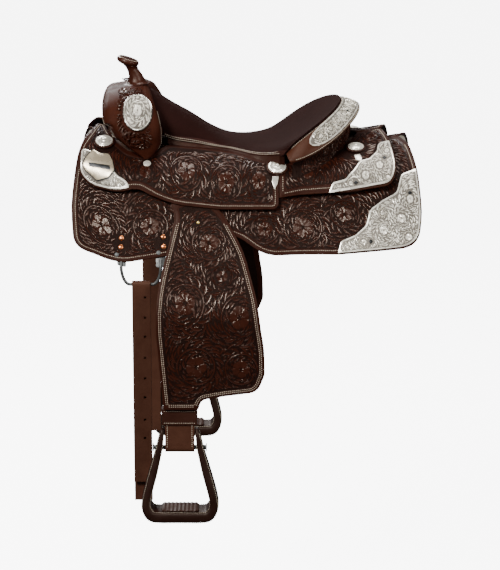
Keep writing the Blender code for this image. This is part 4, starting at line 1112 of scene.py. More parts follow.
# ---- seat and cantle ----
SEAT_FRONT_EDGE_X, SEAT_FRONT_RIDGE_X = -0.172, -0.212
CREST_END, CREST_TOP = Vector((0.062, 0.157, 0.040)), Vector((0.188, 0.0, 0.138))
ROLL_END, ROLL_TOP = Vector((0.066, 0.178, 0.042)), Vector((0.228, 0.0, 0.126))
ROLL_THICK = 0.011
SEAT_WIDTH = [(-0.172, 0.074), (-0.148, 0.077), (-0.100, 0.076), (-0.055, 0.080),
              (-0.037, 0.086), (-0.010, 0.104), (0.020, 0.125), (0.062, 0.157)]
SEAT_RIDGE = [(-0.212, 0.1625), (-0.204, 0.1575), (-0.166, 0.132), (-0.124, 0.108),
              (-0.083, 0.081), (-0.042, 0.062), (0.0, 0.0535), (0.042, 0.0515), (0.085, 0.064),
              (0.120, 0.083), (0.155, 0.110), (0.188, 0.138)]
SEAT_EDGE = [(-0.172, 0.068), (-0.148, 0.0610), (-0.100, 0.0555), (-0.055, 0.0520),
             (-0.037, 0.0500), (-0.010, 0.0458), (0.020, 0.0418), (0.062, 0.0425)]
SEAT_ARCH, CREST_ARCH = 0.95, 0.60


def crest(a):
    c, d = max(0.0, math.cos(a)), math.sin(a)
    return Vector((CREST_END.x + (CREST_TOP.x - CREST_END.x) * c**0.85, CREST_END.y * d,
                   CREST_END.z + (CREST_TOP.z - CREST_END.z) * c**CREST_ARCH))


def roll_edge(a):
    c, d = max(0.0, math.cos(a)), math.sin(a)
    return Vector((ROLL_END.x + (ROLL_TOP.x - ROLL_END.x) * c**0.85, ROLL_END.y * d,
                   ROLL_END.z + (ROLL_TOP.z - ROLL_END.z) * c**1.5))


def seat_top(u, v):
    a = v * math.pi / 2
    c = max(0.0, math.cos(a))
    edge_x = SEAT_FRONT_EDGE_X + u * (CREST_END.x - SEAT_FRONT_EDGE_X)
    ridge_x = SEAT_FRONT_RIDGE_X + u * (CREST_TOP.x - SEAT_FRONT_RIDGE_X)
    low, high = along(SEAT_EDGE, edge_x), along(SEAT_RIDGE, ridge_x)
    x = edge_x + (ridge_x - edge_x) * c**0.85
    arch_power = SEAT_ARCH + (CREST_ARCH - SEAT_ARCH) * ease((u - 0.5) / 0.5)
    return Vector((x, along(SEAT_WIDTH, edge_x) * math.sin(a), low + (high - low) * c**arch_power))


def seat_point(u, v, depth):
    step = 0.004
    du = seat_top(u + step, v) - seat_top(u - step, v)
    dv = seat_top(u, v + step) - seat_top(u, v - step)
    return seat_top(u, v) - du.cross(dv).normalized() * depth


SEAT_BAND, ROLL_RISE, WELT_FLARE = 0.0125, 0.0014, 0.0035


def make_seat():
    """Padded suede seat with a stitched leather band, as one crowned closed form."""
    v_lines = [math.sin(math.pi / 2 * (k / 22 - 1)) * 0.988 for k in range(45)]
    v_lines = [0.5 * v + 0.5 * 0.988 * (k / 22 - 1) for k, v in enumerate(v_lines)]
    u_lines = [0.004 + 0.996 * k / 68 for k in range(69)]
    rings, edge = [], []
    for u in u_lines:
        row = [seat_top(u, v) for v in v_lines]
        sizes = [0.0]
        for a, b in zip(row, row[1:]):
            sizes.append(sizes[-1] + (b - a).length)
        over, near = [], []
        for v, size in zip(v_lines, sizes):
            gap = min(size, sizes[-1] - size)
            fall = 0.0048 * (1 - min(1.0, gap / 0.010))**2
            seam = 0.0011 * math.exp(-((gap - SEAT_BAND) / 0.0022)**2)
            crown = 0.0012 * ease((gap - SEAT_BAND) / 0.03)
            rise = ROLL_RISE * ease((u - 0.84) / 0.16)
            over.append(seat_point(u, v, fall + seam - crown - rise))
            near.append(gap)
        under = [seat_point(u, v, 0.0066) for v in reversed(v_lines)]
        rings.append(over + under)
        edge += near + [0.0] * len(under)
    seat = loft("seat_suede_cushion", rings, SEAT_COVER, "saddle", nodes=["seat_cover", "seat_pad"],
                edge=edge, slot="seat_suede", smooth=60, strip=True)
    rings = []
    for u in [0.02 + 0.965 * k / 40 for k in range(41)]:
        spread = [0.97 * (k / 15 - 1) for k in range(31)]
        rings.append([seat_point(u, v, 0.0072) for v in spread]
                     + [seat_point(u, v, 0.0112) for v in reversed(spread)])
    loft("ground_seat_leather", rings, PLAIN, "saddle", nodes=["ground_seat"], slot="plain_leather",
         smooth=60, strip=True)
    for side in (-1.0, 1.0):
        for inset in (0.0052, SEAT_BAND - 0.0024):
            points, normals = [], []
            for u in [0.01 + 0.945 * k / 90 for k in range(91)]:
                width = along(SEAT_WIDTH, SEAT_FRONT_EDGE_X + u * 0.234)
                v = 1 - inset / (width * 0.62) * 0.18
                for _ in range(6):
                    far = (seat_top(u, 0.988) - seat_top(u, v)).length
                    v += (far - inset) * 2.2
                v = min(0.985, v)
                p = seat_point(u, v, 0.0048 * (1 - min(1.0, inset / 0.010))**2)
                q = seat_point(u, v, -0.01)
                points.append(p)
                normals.append((q - p).normalized())
            STITCHES.line(("saddle", side), points, normals)


def make_seat_welts():
    """Leather that closes the step from the seat's edge down to the jockey."""
    low = above_jockey(0.0003)
    for side_name, side in SIDES:
        rings = []
        for u in [0.02 + 0.94 * k / 60 for k in range(61)]:
            top, inner = seat_point(u, 0.986, 0.0040), seat_point(u, 0.950, 0.0064)
            foot, inner_foot = top.copy(), inner.copy()
            foot.y += WELT_FLARE
            for p, lid in ((foot, top), (inner_foot, inner)):
                p.z = min(skin_height(p.x, p.y, low), lid.z - 0.0008)
            rings.append([Vector((p.x, side * p.y, p.z)) for p in (top, foot, inner_foot, inner)])
        loft(f"seat_welt_{side_name}", rings, PLAIN, "saddle", slot="plain_leather", smooth=40)


def seat_cover_leather():
    net = Net("seat_suede_and_band", 0.95)
    place = net.place()
    edge = net.attribute("edge")
    band = net.ramp(edge, SEAT_BAND - 0.0006, SEAT_BAND + 0.0006, 1.0, 0.0)
    brushed = net.noise(place, 20.0, 4.0, 0.6)
    nap = net.noise(place, 1100.0, 3.0, 0.7)
    shade = net.mix(brushed, (0.0060, 0.0018, 0.0014), (0.0190, 0.0062, 0.0048))
    fluff = net.mix(nap * 0.4, shade, (0.028, 0.0105, 0.0085))
    hide = net.mix(net.noise(place, 60.0, 4.0), (0.015, 0.0028, 0.0013), (0.036, 0.0082, 0.0040))
    net.set("Base Color", net.mix(band, fluff, hide))
    net.set("Roughness", band * -0.38 + 0.95)
    net.set("Normal", net.bump(nap + brushed * 0.5, 0.0006, 0.7))
    net.set("Sheen Weight", (1.0 - band) * 0.008)
    net.set("Sheen Tint", (0.5, 0.30, 0.26, 1.0))
    net.set("Specular IOR Level", band * 0.11 + 0.03)
    return net.material


SEAT_COVER = seat_cover_leather()


def roll_ring(a, spots):
    inner, outer = crest(a), roll_edge(a)
    across = outer - inner
    run = crest(a + 0.02) - crest(a - 0.02)
    up = run.cross(across).normalized()
    up = up if up.z > 0 else -up
    start = inner + across.normalized() * 0.0015
    return [start + across * t + up * (ROLL_THICK * (k - 0.5)) for t, k in spots]


def smooth_loop(points, fine=3):
    """Closed Catmull-Rom loop through 2-D points."""
    out = []
    n = len(points)
    for i in range(n):
        p0, p1, p2, p3 = (Vector(points[(i + k) % n]) for k in (-1, 0, 1, 2))
        for j in range(fine):
            t = j / fine
            out.append(tuple(0.5 * ((2 * p1) + (p2 - p0) * t + (2 * p0 - 5 * p1 + 4 * p2 - p3) * t**2
                                    + (3 * p1 - p0 - 3 * p2 + p3) * t**3)))
    return out


WALL_TALL = 0.060


def wall_foot(a):
    foot = above_jockey(0.0004)
    away = roll_edge(a) - crest(a)
    away.z = 0.0
    away.normalize()
    base = crest(a) + away * (0.013 + 0.006 * math.cos(a))
    base.z = skin_height(base.x, base.y, foot)
    return away, base, foot


def back_wall(a, t, h):
    """A point of the cantle's back at the part t from the roll down to the jockey."""
    away, base, _ = wall_foot(a)
    top = roll_ring(a, [(0.74, -0.30)])[0]
    return top.lerp(base, t) + away * (h - 0.003 * math.sin(math.pi * t))


def make_cantle():
    loop = smooth_loop([(0.0, -0.42), (0.0, 0.25), (0.12, 0.48), (0.5, 0.60), (0.86, 0.45),
                        (0.985, 0.05), (0.95, -0.35), (0.75, -0.48), (0.35, -0.5)])
    angles = [math.radians(87.0 * (2 * k / 96 - 1)) for k in range(97)]
    loft("cantle_roll_leather", [roll_ring(a, loop) for a in angles], ROLL_LEATHER, "saddle",
         nodes=["cantle_roll"], slot="plain_leather", smooth=60)
    for side in (-1.0, 1.0):
        for spot, facing in (((0.935, 0.42), 0.5), ((0.03, 0.42), 0.5)):
            run = [a for a in angles if a * side >= 0 and abs(a) < math.radians(85)]
            run.sort(key=abs)
            points = [roll_ring(a, [spot])[0] for a in run]
            points = [Vector((p.x, abs(p.y), p.z)) for p in points]
            above = [roll_ring(a, [(spot[0], spot[1] + facing)])[0] for a in run]
            above = [Vector((p.x, abs(p.y), p.z)) for p in above]
            normals = [(q - p).normalized() for p, q in zip(points, above)]
            STITCHES.line(("saddle", side), points, normals)
    rings, edge = [], []
    limit = math.radians(70.5)
    for k in range(121):
        a = limit * (2 * k / 120 - 1)
        end = math.sqrt(max(0.0, 1 - (abs(a) / limit)**10))
        half = max(0.02, 0.425 * end)
        spots = []
        for j in range(11):
            t = 0.455 + half * (2 * j / 10 - 1)
            spots.append((t, 0.60 + 0.075 - 0.42 * (abs(t - 0.5))**1.7))
        lower = [(t, k - 0.16) for t, k in reversed(spots)]
        rings.append(roll_ring(a, spots + lower))
        width = (rings[-1][10] - rings[-1][0]).length
        tail = (limit - abs(a)) * 0.19
        near = [min(width * j / 10, width * (10 - j) / 10, tail) for j in range(11)]
        edge += near + [0.0] * 11
    loft("cantle_silver_band", rings, SILVER, "saddle", nodes=["cantle_plate"], edge=edge,
         slot="engraved_silver", smooth=60, strip=True)
    rings, edge = [], []
    for a in [math.radians(84.0 * (2 * k / 72 - 1)) for k in range(73)]:
        inner = roll_ring(a, [(0.42, -0.30)])[0]
        away, base, foot = wall_foot(a)
        base_in = base - away * 0.006
        base_in.z = skin_height(base_in.x, base_in.y, foot)
        ring = [back_wall(a, j / 7, 0.0) for j in range(8)]
        for j in range(8):
            t = 1 - j / 7
            ring.append(inner.lerp(base_in, t))
        rings.append(ring)
        edge += [0.02] * len(ring)
    loft("cantle_back_leather", rings, TOOLED, "saddle", nodes=["cantle_back", "tree_cantle"],
         edge=edge, slot="plain_leather", smooth=60, strip=True)


# ---- rigging and billets ----
RING_X, RING_S, RING_WIRE = -0.219, 0.300, 0.0032
RING_HALF_WIDTH, RING_DEPTH, RING_HALF_FLAT = 0.040, 0.038, 0.0225


def ring_point(across, drop):
    start = back(RING_X, RING_S, 0.0114)
    lean = SLOPE + min(1.0, max(0.0, drop) / (0.4 * RING_DEPTH)) * (math.pi / 2 - SLOPE)
    return start + Vector((across, drop * math.cos(lean), -drop * math.sin(lean)))


def make_rigging():
    half = [(RING_HALF_WIDTH, -0.012), (RING_HALF_WIDTH, -0.004)]
    for k in range(13):
        a = math.pi / 2 * k / 12
        reach = RING_HALF_FLAT + (RING_HALF_WIDTH - RING_HALF_FLAT) * math.cos(a)
        half.append((reach, RING_DEPTH * math.sin(a)))
    points = [ring_point(-x, drop) for x, drop in half]
    points += [ring_point(0.0, RING_DEPTH)] + [ring_point(x, drop) for x, drop in reversed(half)]
    tab = rounded([(-0.271, 0.234, 0.01), (-0.267, 0.303, 0.004), (-0.249, 0.303, 0.004),
                   (-0.249, 0.268, 0.01), (-0.189, 0.262, 0.01), (-0.189, 0.303, 0.004),
                   (-0.171, 0.303, 0.004), (-0.167, 0.228, 0.01)])
    for side_name, side in SIDES:
        tube_piece(f"rigging_wire_{side_name}", points, RING_WIRE, STEEL, "saddle", side, count=14,
                   nodes=[f"rigging_ring_{side_name}"], slot="rigging_steel")
        panel(f"rigging_plate_{side_name}", tab, 0.0121, 0.0125, STEEL, "saddle", side,
              cell=0.01, lip=0.0002, slot="rigging_steel")


HOLES_Z = (-0.2241, -0.2670, -0.3069, -0.3513, -0.3947, -0.4352, -0.4834, -0.5221)
HOLE_X = (-0.2114, -0.2148)
HOLE_RADIUS = 0.0027


def bevelled(node, width=0.0007):
    modifier = node.modifiers.new("edges", "BEVEL")
    modifier.width, modifier.segments = width, 2
    modifier.limit_method = "ANGLE"
    modifier.angle_limit = math.radians(40)


def dress(node_name, material, width=None):
    """Gives a CAD node that stays its own finish."""
    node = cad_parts[node_name]
    for place in node.material_slots:
        place.material = material
    if width:
        bevelled(node, width)


def make_billets():
    for side_name, side in SIDES:
        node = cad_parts[f"billet_{side_name}"]
        strap = bpy.data.objects.new(f"billet_strap_{side_name}", node.data.copy())
        bpy.context.scene.collection.objects.link(strap)
        strap.data.materials.clear()
        strap.data.materials.append(STRAP)
        cutter = bmesh.new()
        low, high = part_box(f"billet_{side_name}")
        face_y = low[1] if side < 0 else high[1]
        for k, z in enumerate(HOLES_Z):
            x = HOLE_X[0] + (HOLE_X[1] - HOLE_X[0]) * k / (len(HOLES_Z) - 1)
            turn = Matrix.Translation((x, face_y, z)) @ Matrix.Rotation(math.pi / 2, 4, "X")
            bmesh.ops.create_cone(cutter, cap_ends=True, segments=16, radius1=HOLE_RADIUS,
                                  radius2=HOLE_RADIUS, depth=0.0095, matrix=turn)
        mesh = bpy.data.meshes.new("punch")
        cutter.to_mesh(mesh)
        cutter.free()
        punch = bpy.data.objects.new("punch", mesh)
        bpy.context.scene.collection.objects.link(punch)
        bevelled(strap, 0.0008)
        cut = strap.modifiers.new("holes", "BOOLEAN")
        cut.operation, cut.object = "DIFFERENCE", punch
        bpy.context.view_layer.update()
        ready = strap.evaluated_get(bpy.context.evaluated_depsgraph_get())
        final = bpy.data.meshes.new_from_object(ready)
        strap.modifiers.clear()
        strap.data = final
        bpy.data.objects.remove(punch, do_unlink=True)
        final.shade_smooth()
        final.set_sharp_from_angle(angle=math.radians(35))
        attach(strap, f"billet_{side_name}")
        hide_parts(f"billet_{side_name}")


# ---- fenders and stirrups ----
FENDER = (0.0210, 0.0250)
FENDER_END = 0.588
FENDER_OUTLINE = rounded([
    (-0.164, 0.168, 0.012), (-0.1500, 0.200, 0.05), (-0.159, 0.239, 0.3), (-0.180, 0.330, 0.3),
    (-0.191, 0.400, 0.3), (-0.185, 0.470, 0.3), (-0.174, FENDER_END, 0.004),
    (-0.104, FENDER_END, 0.004), (-0.098, 0.568, 0.02), (-0.050, 0.560, 0.1),
    (0.015, 0.552, 0.03), (0.030, 0.515, 0.03), (0.0285, 0.462, 0.2), (0.015, 0.378, 0.4),
    (-0.012, 0.274, 0.4), (-0.034, 0.231, 0.2), (-0.050, 0.200, 0.05), (-0.078, 0.168, 0.012)])
STIRRUP_X, STIRRUP_Y, BOLT_Z = -0.1425, 0.2775, -0.5285
LEATHER_HALF, PLY_OUTSIDE = 0.0295, 0.0094


def across_lift(thing, side_name, side):
    start, end = (hanging(-0.1, s, 0.023) for s in (0.189, 0.213))
    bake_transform(thing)


def make_fenders():
    for side_name, side in SIDES:
        fender = panel(f"fender_leather_{side_name}", FENDER_OUTLINE, *FENDER, TOOLED, None, side,
                       place=hanging, lip=0.0019, ride=False,
                       nodes=[f"fender_hanger_{side_name}", f"fender_{side_name}"],
                       slot="tooled_leather")
        across_lift(fender, side_name, side)
        for inset in (0.0062, 0.0098):
            for run in inset_path(FENDER_OUTLINE, inset, lambda p: 0.2135 < p.y < FENDER_END - 0.006):
                STITCHES.on_surface((f"fender_{side_name}", side), run, FENDER[1], hanging)


STIRRUP_LINE = [(0.0345, -0.0415, 0.0065, 0.024), (0.0380, -0.021, 0.011, 0.028),
                (0.0415, 0.0, 0.014, 0.031), (0.0475, 0.025, 0.016, 0.035),
                (0.0545, 0.053, 0.018, 0.041), (0.0622, 0.082, 0.018, 0.048),
                (0.0680, 0.107, 0.018, 0.054), (0.0680, 0.125, 0.021, 0.056),
                (0.0580, 0.1405, 0.025, 0.058), (0.0400, 0.1435, 0.026, 0.058)]
TREAD_DROP = 0.1435


def stirrup_path(fine=4):
    left = [(-x, drop, thick, deep) for x, drop, thick, deep in STIRRUP_LINE]
    middle = [(-0.02, TREAD_DROP, 0.026, 0.058), (0.0, TREAD_DROP, 0.026, 0.058),
              (0.02, TREAD_DROP, 0.026, 0.058)]
    knots = left + middle + [(-x, d, t, w) for x, d, t, w in reversed(left)]
    knots = [Vector(k) for k in knots]
    path = []
    for i in range(len(knots) - 1):
        p0, p1 = knots[max(i - 1, 0)], knots[i]
        p2, p3 = knots[i + 1], knots[min(i + 2, len(knots) - 1)]
        for j in range(fine):
            t = j / fine
            path.append(0.5 * ((2 * p1) + (p2 - p0) * t + (2 * p0 - 5 * p1 + 4 * p2 - p3) * t**2
                               + (3 * p1 - p0 - 3 * p2 + p3) * t**3))
    return path + [knots[-1]]


def make_stirrups():
    path = stirrup_path()
    section = []
    for k in range(24):
        a = 2 * math.pi * k / 24
        c, d = math.cos(a), math.sin(a)
        section.append((0.5 * math.copysign(abs(c)**0.55, c), 0.5 * math.copysign(abs(d)**0.4, d)))
    frames = []
    for i, (x, drop, thick, deep) in enumerate(path):
        before, after = path[max(i - 1, 0)], path[min(i + 1, len(path) - 1)]
        run = Vector((after[0] - before[0], 0, before[1] - after[1])).normalized()
        frames.append((Vector((STIRRUP_X + x, STIRRUP_Y, BOLT_Z - drop)),
                       Vector((run.z, 0, -run.x)), thick, deep))
    rings = []
    for i, (centre, out, thick, deep) in enumerate(frames):
        end = min(i, len(frames) - 1 - i)
        round_end = (0.55, 0.82, 0.95, 1.0)[min(end, 3)]
        rings.append([centre + out * (thick * a * round_end) + Vector((0, deep * b * round_end, 0))
                      for a, b in section])
    for side_name, side in SIDES:
        body = f"stirrup_{side_name}"
        mirrored = [[Vector((p.x, side * p.y, p.z)) for p in ring] for ring in rings]
        loft(f"stirrup_leather_cover_{side_name}", mirrored, STIRRUP_LEATHER, body,
             nodes=[f"stirrup_frame_{side_name}"], slot="plain_leather", smooth=50)
        for face in (-0.43, 0.43):
            for out_part in (0.43, -0.43):
                points = [c + o * (t * out_part) + Vector((0, w * face, 0)) for c, o, t, w in frames]
                up = Vector((0, math.copysign(1.0, face), 0))
                STITCHES.line((body, side), points[2:-2], [up] * (len(points) - 4), width=0.0007,
                              lift=0.0006)
        tread = rounded([(-0.038, -0.026, 0.010), (0.038, -0.026, 0.010), (0.038, 0.026, 0.010),
                         (-0.038, 0.026, 0.010)])
        top = BOLT_Z - TREAD_DROP + 0.0130

        def flat(x, s, h):
            return Vector((STIRRUP_X + x, STIRRUP_Y + s, top + h))

        def ribbed(x, s):
            return 0.0030 + 0.0008 * math.cos(2 * math.pi * x / 0.008)

        panel(f"tread_pad_{side_name}", tread, 0.0002, ribbed, TREAD, body, side, place=flat,
              cell=0.002, lip=0.0012, nodes=[f"stirrup_tread_{side_name}"], slot="plain_leather")
        dress(f"stirrup_bolt_{side_name}", STEEL)
        dress(f"stirrup_strap_{side_name}", STRAP, 0.0009)
        dress(f"keeper_{side_name}", KEEPER_LEATHER, 0.0008)
        group = (f"fender_{side_name}", side)
        low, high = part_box(f"keeper_{side_name}")
        far = max(abs(low[1]), abs(high[1]))
        out = Vector((0, 1, 0))
        rows = [[(low[0] + 0.004, high[2] - 0.004), (high[0] - 0.004, high[2] - 0.004)],
                [(low[0] + 0.004, low[2] + 0.004), (high[0] - 0.004, low[2] + 0.004)]]
        for row in rows:
            STITCHES.line(group, [Vector((x, far, z)) for x, z in row], [out, out])
        strap_y = STIRRUP_Y + PLY_OUTSIDE
        for x in (STIRRUP_X - LEATHER_HALF + 0.0045, STIRRUP_X + LEATHER_HALF - 0.0045):
            ends = [Vector((x, strap_y, low[2] - 0.001)), Vector((x, strap_y, BOLT_Z + 0.002))]
            STITCHES.line(group, ends, [out, out])


KEEPER_LEATHER = plain_leather("keeper_leather", (0.017, 0.0040, 0.0021), (0.040, 0.0105, 0.0054),
                               0.5, 750.0, 0.0)
STIRRUP_LEATHER = plain_leather("stirrup_cover", (0.0085, 0.0020, 0.0012), (0.024, 0.0062, 0.0034),
                                0.5, 520.0, 0.0)


def dress_hidden_parts():
    for side_name, _ in SIDES:
        dress(f"tree_bar_{side_name}", WOOD)
        dress(f"stirrup_leather_{side_name}", STRAP)
    dress("tree_fork", PLAIN)


# ---- carving ----
LEAF_WIDTHS = [(0.0, 0.22), (0.14, 0.62), (0.32, 0.98), (0.52, 1.0), (0.72, 0.78), (0.88, 0.42),
               (1.0, 0.06)]
PETAL_WIDTHS = [(0.0, 0.34), (0.3, 0.72), (0.58, 0.98), (0.8, 0.98), (0.93, 0.72), (1.0, 0.34)]
LEAF_SECTION = [(-1.0, -0.35), (-0.74, 0.90), (-0.18, 0.42), (0.12, 0.55), (0.72, 1.0), (1.0, -0.35)]
PETAL_SECTION = [(-1.0, -0.35), (-0.78, 1.0), (-0.35, 0.62), (0.0, 0.28), (0.35, 0.62), (0.78, 1.0),
                 (1.0, -0.35)]
PETALS = 5
VINE_TURN = math.radians(338)      # how far a vine goes round its flower
INNER_LEAN, OUTER_LEAN, STREAM_LEAN = (math.radians(a) for a in (128, 38, 62))  # leaves off the radius
STEM_SECTION = [(-1.0, -0.35), (-0.6, 0.95), (0.0, 0.45), (0.6, 0.95), (1.0, -0.35)]


class Carving:
    """Raised leaves, flowers and vines inside an outline, kept as rows of (x, s, height)."""

    def __init__(self, outline, border, relief, avoid=(), room=0.0016, keep=None):
        self.outline = resampled(outline, 0.008)
        self.relief, self.room, self.grids = relief, room, []
        lows = np.min([tuple(p) for p in self.outline], axis=0)
        highs = np.max([tuple(p) for p in self.outline], axis=0)
        self.low = lows
        self.size = np.ceil((highs - lows) / room).astype(int) + 1
        spots = np.stack(np.meshgrid(*(lows[i] + room * np.arange(self.size[i]) for i in (0, 1)),
                                     indexing="ij"), -1).reshape(-1, 2)
        free = inside(spots, self.outline) & (distances(spots, self.outline) > border)
        for shape in avoid:
            if len(shape) == 3:
                free &= np.hypot(spots[:, 0] - shape[0], spots[:, 1] - shape[1]) > shape[2]
            else:
                free &= ~inside(spots, shape)
        if keep is not None:
            free &= np.array([keep(x, s) for x, s in spots])
        self.free = free.reshape(self.size)
        self.spots = spots

    def cells(self, points):
        spots = np.array([(p[0], p[1]) for p in points])
        cells = np.round((spots - self.low) / self.room).astype(int)
        return np.clip(cells, 0, self.size - 1)

    def fits(self, points, share=1.0):
        cells = self.cells(points)
        return self.free[cells[:, 0], cells[:, 1]].mean() >= share

    def strip(self, centres, runs, halves, section, relief, share, cover=True):
        """One raised closed strip along centres, if enough of it falls on free ground."""
        sides = [Vector((-r.y, r.x)) for r in runs]
        rim = [c + n * (w * k) for c, n, w in zip(centres, sides, halves) for k in (-0.8, 0, 0.8)]
        if not self.fits(rim, share):
            return False
        rows = []
        for j, (c, n, w) in enumerate(zip(centres, sides, halves)):
            t = j / (len(centres) - 1)
            swell = 0.45 + 0.55 * math.sin(math.pi * min(1.0, 0.15 + 0.85 * t))**0.5
            row = []
            for u, h in section:
                q = c + n * (w * u)
                row.append((q.x, q.y, relief * (h * swell if h > 0 else h)))
            rows.append(row)
        self.grids.append(rows)
        if cover:
            cells = self.cells(rim)
            self.free[cells[:, 0], cells[:, 1]] = False
        return True

    def leaf(self, start, angle, length, width, curl, share=0.9, widths=LEAF_WIDTHS,
             section=LEAF_SECTION, relief=None, lobes=0.0, cover=True):
        count = 8
        here, centres, runs, halves = Vector(start), [], [], []
        for j in range(count):
            t = j / (count - 1)
            run = Vector((math.cos(angle + curl * t), math.sin(angle + curl * t)))
            centres.append(here.copy())
            runs.append(run)
            wave = 1 - lobes * 0.5 * (1 + math.cos(t * 2 * math.pi * 3.5))
            halves.append(along(widths, t) * width / 2 * wave)
            here = here + run * (length / (count - 1))
        return self.strip(centres, runs, halves, section, relief or self.relief, share, cover)

    def stem(self, points, width):
        """A vine along the points, wherever they fall on free ground."""
        kept = [[]]
        for p in points:
            if self.fits([p]):
                kept[-1].append(p)
            elif kept[-1]:
                kept.append([])
        for run_points in kept:
            if len(run_points) < 4:
                continue
            last = len(run_points) - 1
            runs = [(run_points[min(i + 1, last)] - run_points[max(i - 1, 0)]).normalized()
                    for i in range(last + 1)]
            halves = [width / 2 * min(1.0, 0.3 + 0.35 * min(i, last - i)) for i in range(last + 1)]
            self.strip(run_points, runs, halves, STEM_SECTION, self.relief, 0.0)

    def flower(self, centre, radius, turn):
        for k in range(PETALS):
            a = turn + 2 * math.pi * k / PETALS
            start = centre + Vector((math.cos(a), math.sin(a))) * (radius * 0.24)
            self.leaf(start, a, radius * 0.76, 2 * radius * math.sin(math.pi / PETALS) * 0.90,
                      0.12, 0.0, PETAL_WIDTHS, PETAL_SECTION, self.relief * 1.05, cover=False)
        for k in range(PETALS):
            a = turn + 2 * math.pi * (k + 0.5) / PETALS
            start = centre + Vector((math.cos(a), math.sin(a))) * (radius * 0.10)
            self.leaf(start, a, radius * 0.26, radius * 0.17, 0.0, 0.0, relief=self.relief * 1.3,
                      cover=False)
        cells = self.cells([centre + Vector((math.cos(b), math.sin(b))) * (radius * r)
                            for r in (0, 0.2, 0.4, 0.6, 0.8, 1.0) for b in np.arange(0, 6.3, 0.2)])
        self.free[cells[:, 0], cells[:, 1]] = False

    def medallion(self, x, s, reach, spin, turn):
        """A flower in a vine ring, with leaves that whirl off the ring on both sides."""
        centre = Vector((x, s))
        self.flower(centre, reach * 0.52, turn)
        steps = max(24, int(reach * 2400))
        ring = []
        for k in range(steps + 1):
            t = k / steps
            a = turn + spin * t * VINE_TURN
            r = reach * (0.97 - 0.07 * t)
            ring.append(centre + Vector((math.cos(a), math.sin(a))) * r)
        self.stem(ring, reach * 0.085 + 0.0006)
        for k in range(9):
            a = turn + spin * 2 * math.pi * (k + 0.3) / 9
            start = centre + Vector((math.cos(a), math.sin(a))) * (reach * 0.86)
            self.leaf(start, a + spin * INNER_LEAN, reach * 0.36, reach * 0.125,
                      -spin * 0.9, 0.55)
        count = 15
        for k in range(count):
            a = turn + spin * 2 * math.pi * (k + 0.5) / count
            start = centre + Vector((math.cos(a), math.sin(a))) * (reach * 1.03)
            for length, width in ((0.62, 0.19), (0.40, 0.15), (0.24, 0.11)):
                if self.leaf(start, a + spin * OUTER_LEAN, reach * length, reach * width,
                             spin * 1.05, 0.92, lobes=0.22):
                    break

    def fill(self, centres, sizes, seed):
        """Leaves that stream round the nearest medallion, wherever ground is left."""
        draw = random.Random(seed)
        for length, width in sizes:
            order = [int(i) for i in np.flatnonzero(self.free)]
            draw.shuffle(order)
            tries = int(TRIES * len(order) * self.room**2 / (length * width))
            for i in order:
                if not self.free.flat[i]:
                    continue
                tries -= 1
                if tries < 0:
                    break
                p = Vector(self.spots[i])
                hub = min(centres, key=lambda c: (c - p).length)
                away = p - hub
                angle = math.atan2(away.y, away.x) + STREAM_LEAN
                angle += WOBBLE * (draw.random() - 0.5)
                self.leaf(p, angle, length, width, 0.9, 0.96, lobes=0.15)

    def build(self, name, top, material, body, side, place=back, slot=None):
        verts, uv, faces = [], [], []
        for rows in self.grids:
            width = len(rows[0])
            base = len(verts)
            for row in rows:
                for x, s, h in row:
                    verts.append(place(x, s, at(top, x, s) + h))
                    uv.append((x, s))
            last = len(rows) - 1
            a, b = Vector(rows[0][0][:2]), Vector(rows[0][-1][:2])
            flip = (b - a).cross(Vector(rows[1][0][:2]) - a) > 0
            tiles = []
            for j in range(last):
                for k in range(width - 1):
                    i = base + j * width + k
                    tiles.append((i, i + 1, i + width + 1, i + width))
            rim = [base + k for k in range(width)]
            rim += [base + j * width + width - 1 for j in range(1, last + 1)]
            rim += [base + last * width + k for k in range(width - 2, -1, -1)]
            rim += [base + j * width for j in range(last - 1, 0, -1)]
            tiles.append(tuple(reversed(rim)))
            faces += [tuple(reversed(f)) for f in tiles] if flip else tiles
        edge = [0.02] * len(verts)
        return finish_piece(name, verts, faces, material, body, side, uv, edge, slot=slot,
                            smooth=55.0, ride=body is not None)


def circle(centre, reach, count=24):
    return [Vector((centre[0] + reach * math.cos(2 * math.pi * k / count),
                    centre[1] + reach * math.sin(2 * math.pi * k / count))) for k in range(count)]


CARVED_BORDER = 0.0125
TRIES = 7      # places tried for each leaf that the ground has room for
WOBBLE = 0.5   # spread of the leaves' angles, in radians
FENDER_FLOWERS = [(-0.082, 0.2555, 0.036, 1, 0.4), (-0.130, 0.3780, 0.039, -1, 1.1),
                  (-0.021, 0.4020, 0.038, 1, 2.0), (-0.108, 0.4985, 0.040, 1, 2.7),
                  (-0.018, 0.5035, 0.034, -1, 0.2), (-0.056, 0.3250, 0.022, -1, 0.9)]
SKIRT_FLOWERS = [(-0.300, 0.2350, 0.039, 1, 0.3), (-0.2015, 0.2190, 0.036, -1, 0.8),
                 (0.1067, 0.2200, 0.040, 1, 1.7), (0.030, 0.2250, 0.030, -1, 2.4),
                 (0.190, 0.1870, 0.030, -1, 0.6)]
JOCKEY_FLOWERS = [(-0.128, 0.1180, 0.034, 1, 0.5), (-0.048, 0.1380, 0.032, -1, 1.3),
                  (0.018, 0.1360, 0.027, 1, 2.2), (-0.212, 0.1200, 0.022, -1, 0.2)]
REAR_FLOWERS = [(0.116, 0.1200, 0.024, 1, 0.5), (0.250, 0.0200, 0.022, -1, 1.0)]


def carve(outline, flowers, sizes, seed, avoid=(), keep=None, border=CARVED_BORDER,
          relief=0.0011, room=0.0016):
    work = Carving(outline, border, relief, avoid, room, keep)
    for x, s, reach, spin, turn in flowers:
        work.medallion(x, s, reach, spin, turn)
    work.fill([Vector((f[0], f[1])) for f in flowers], sizes, seed)
    return work


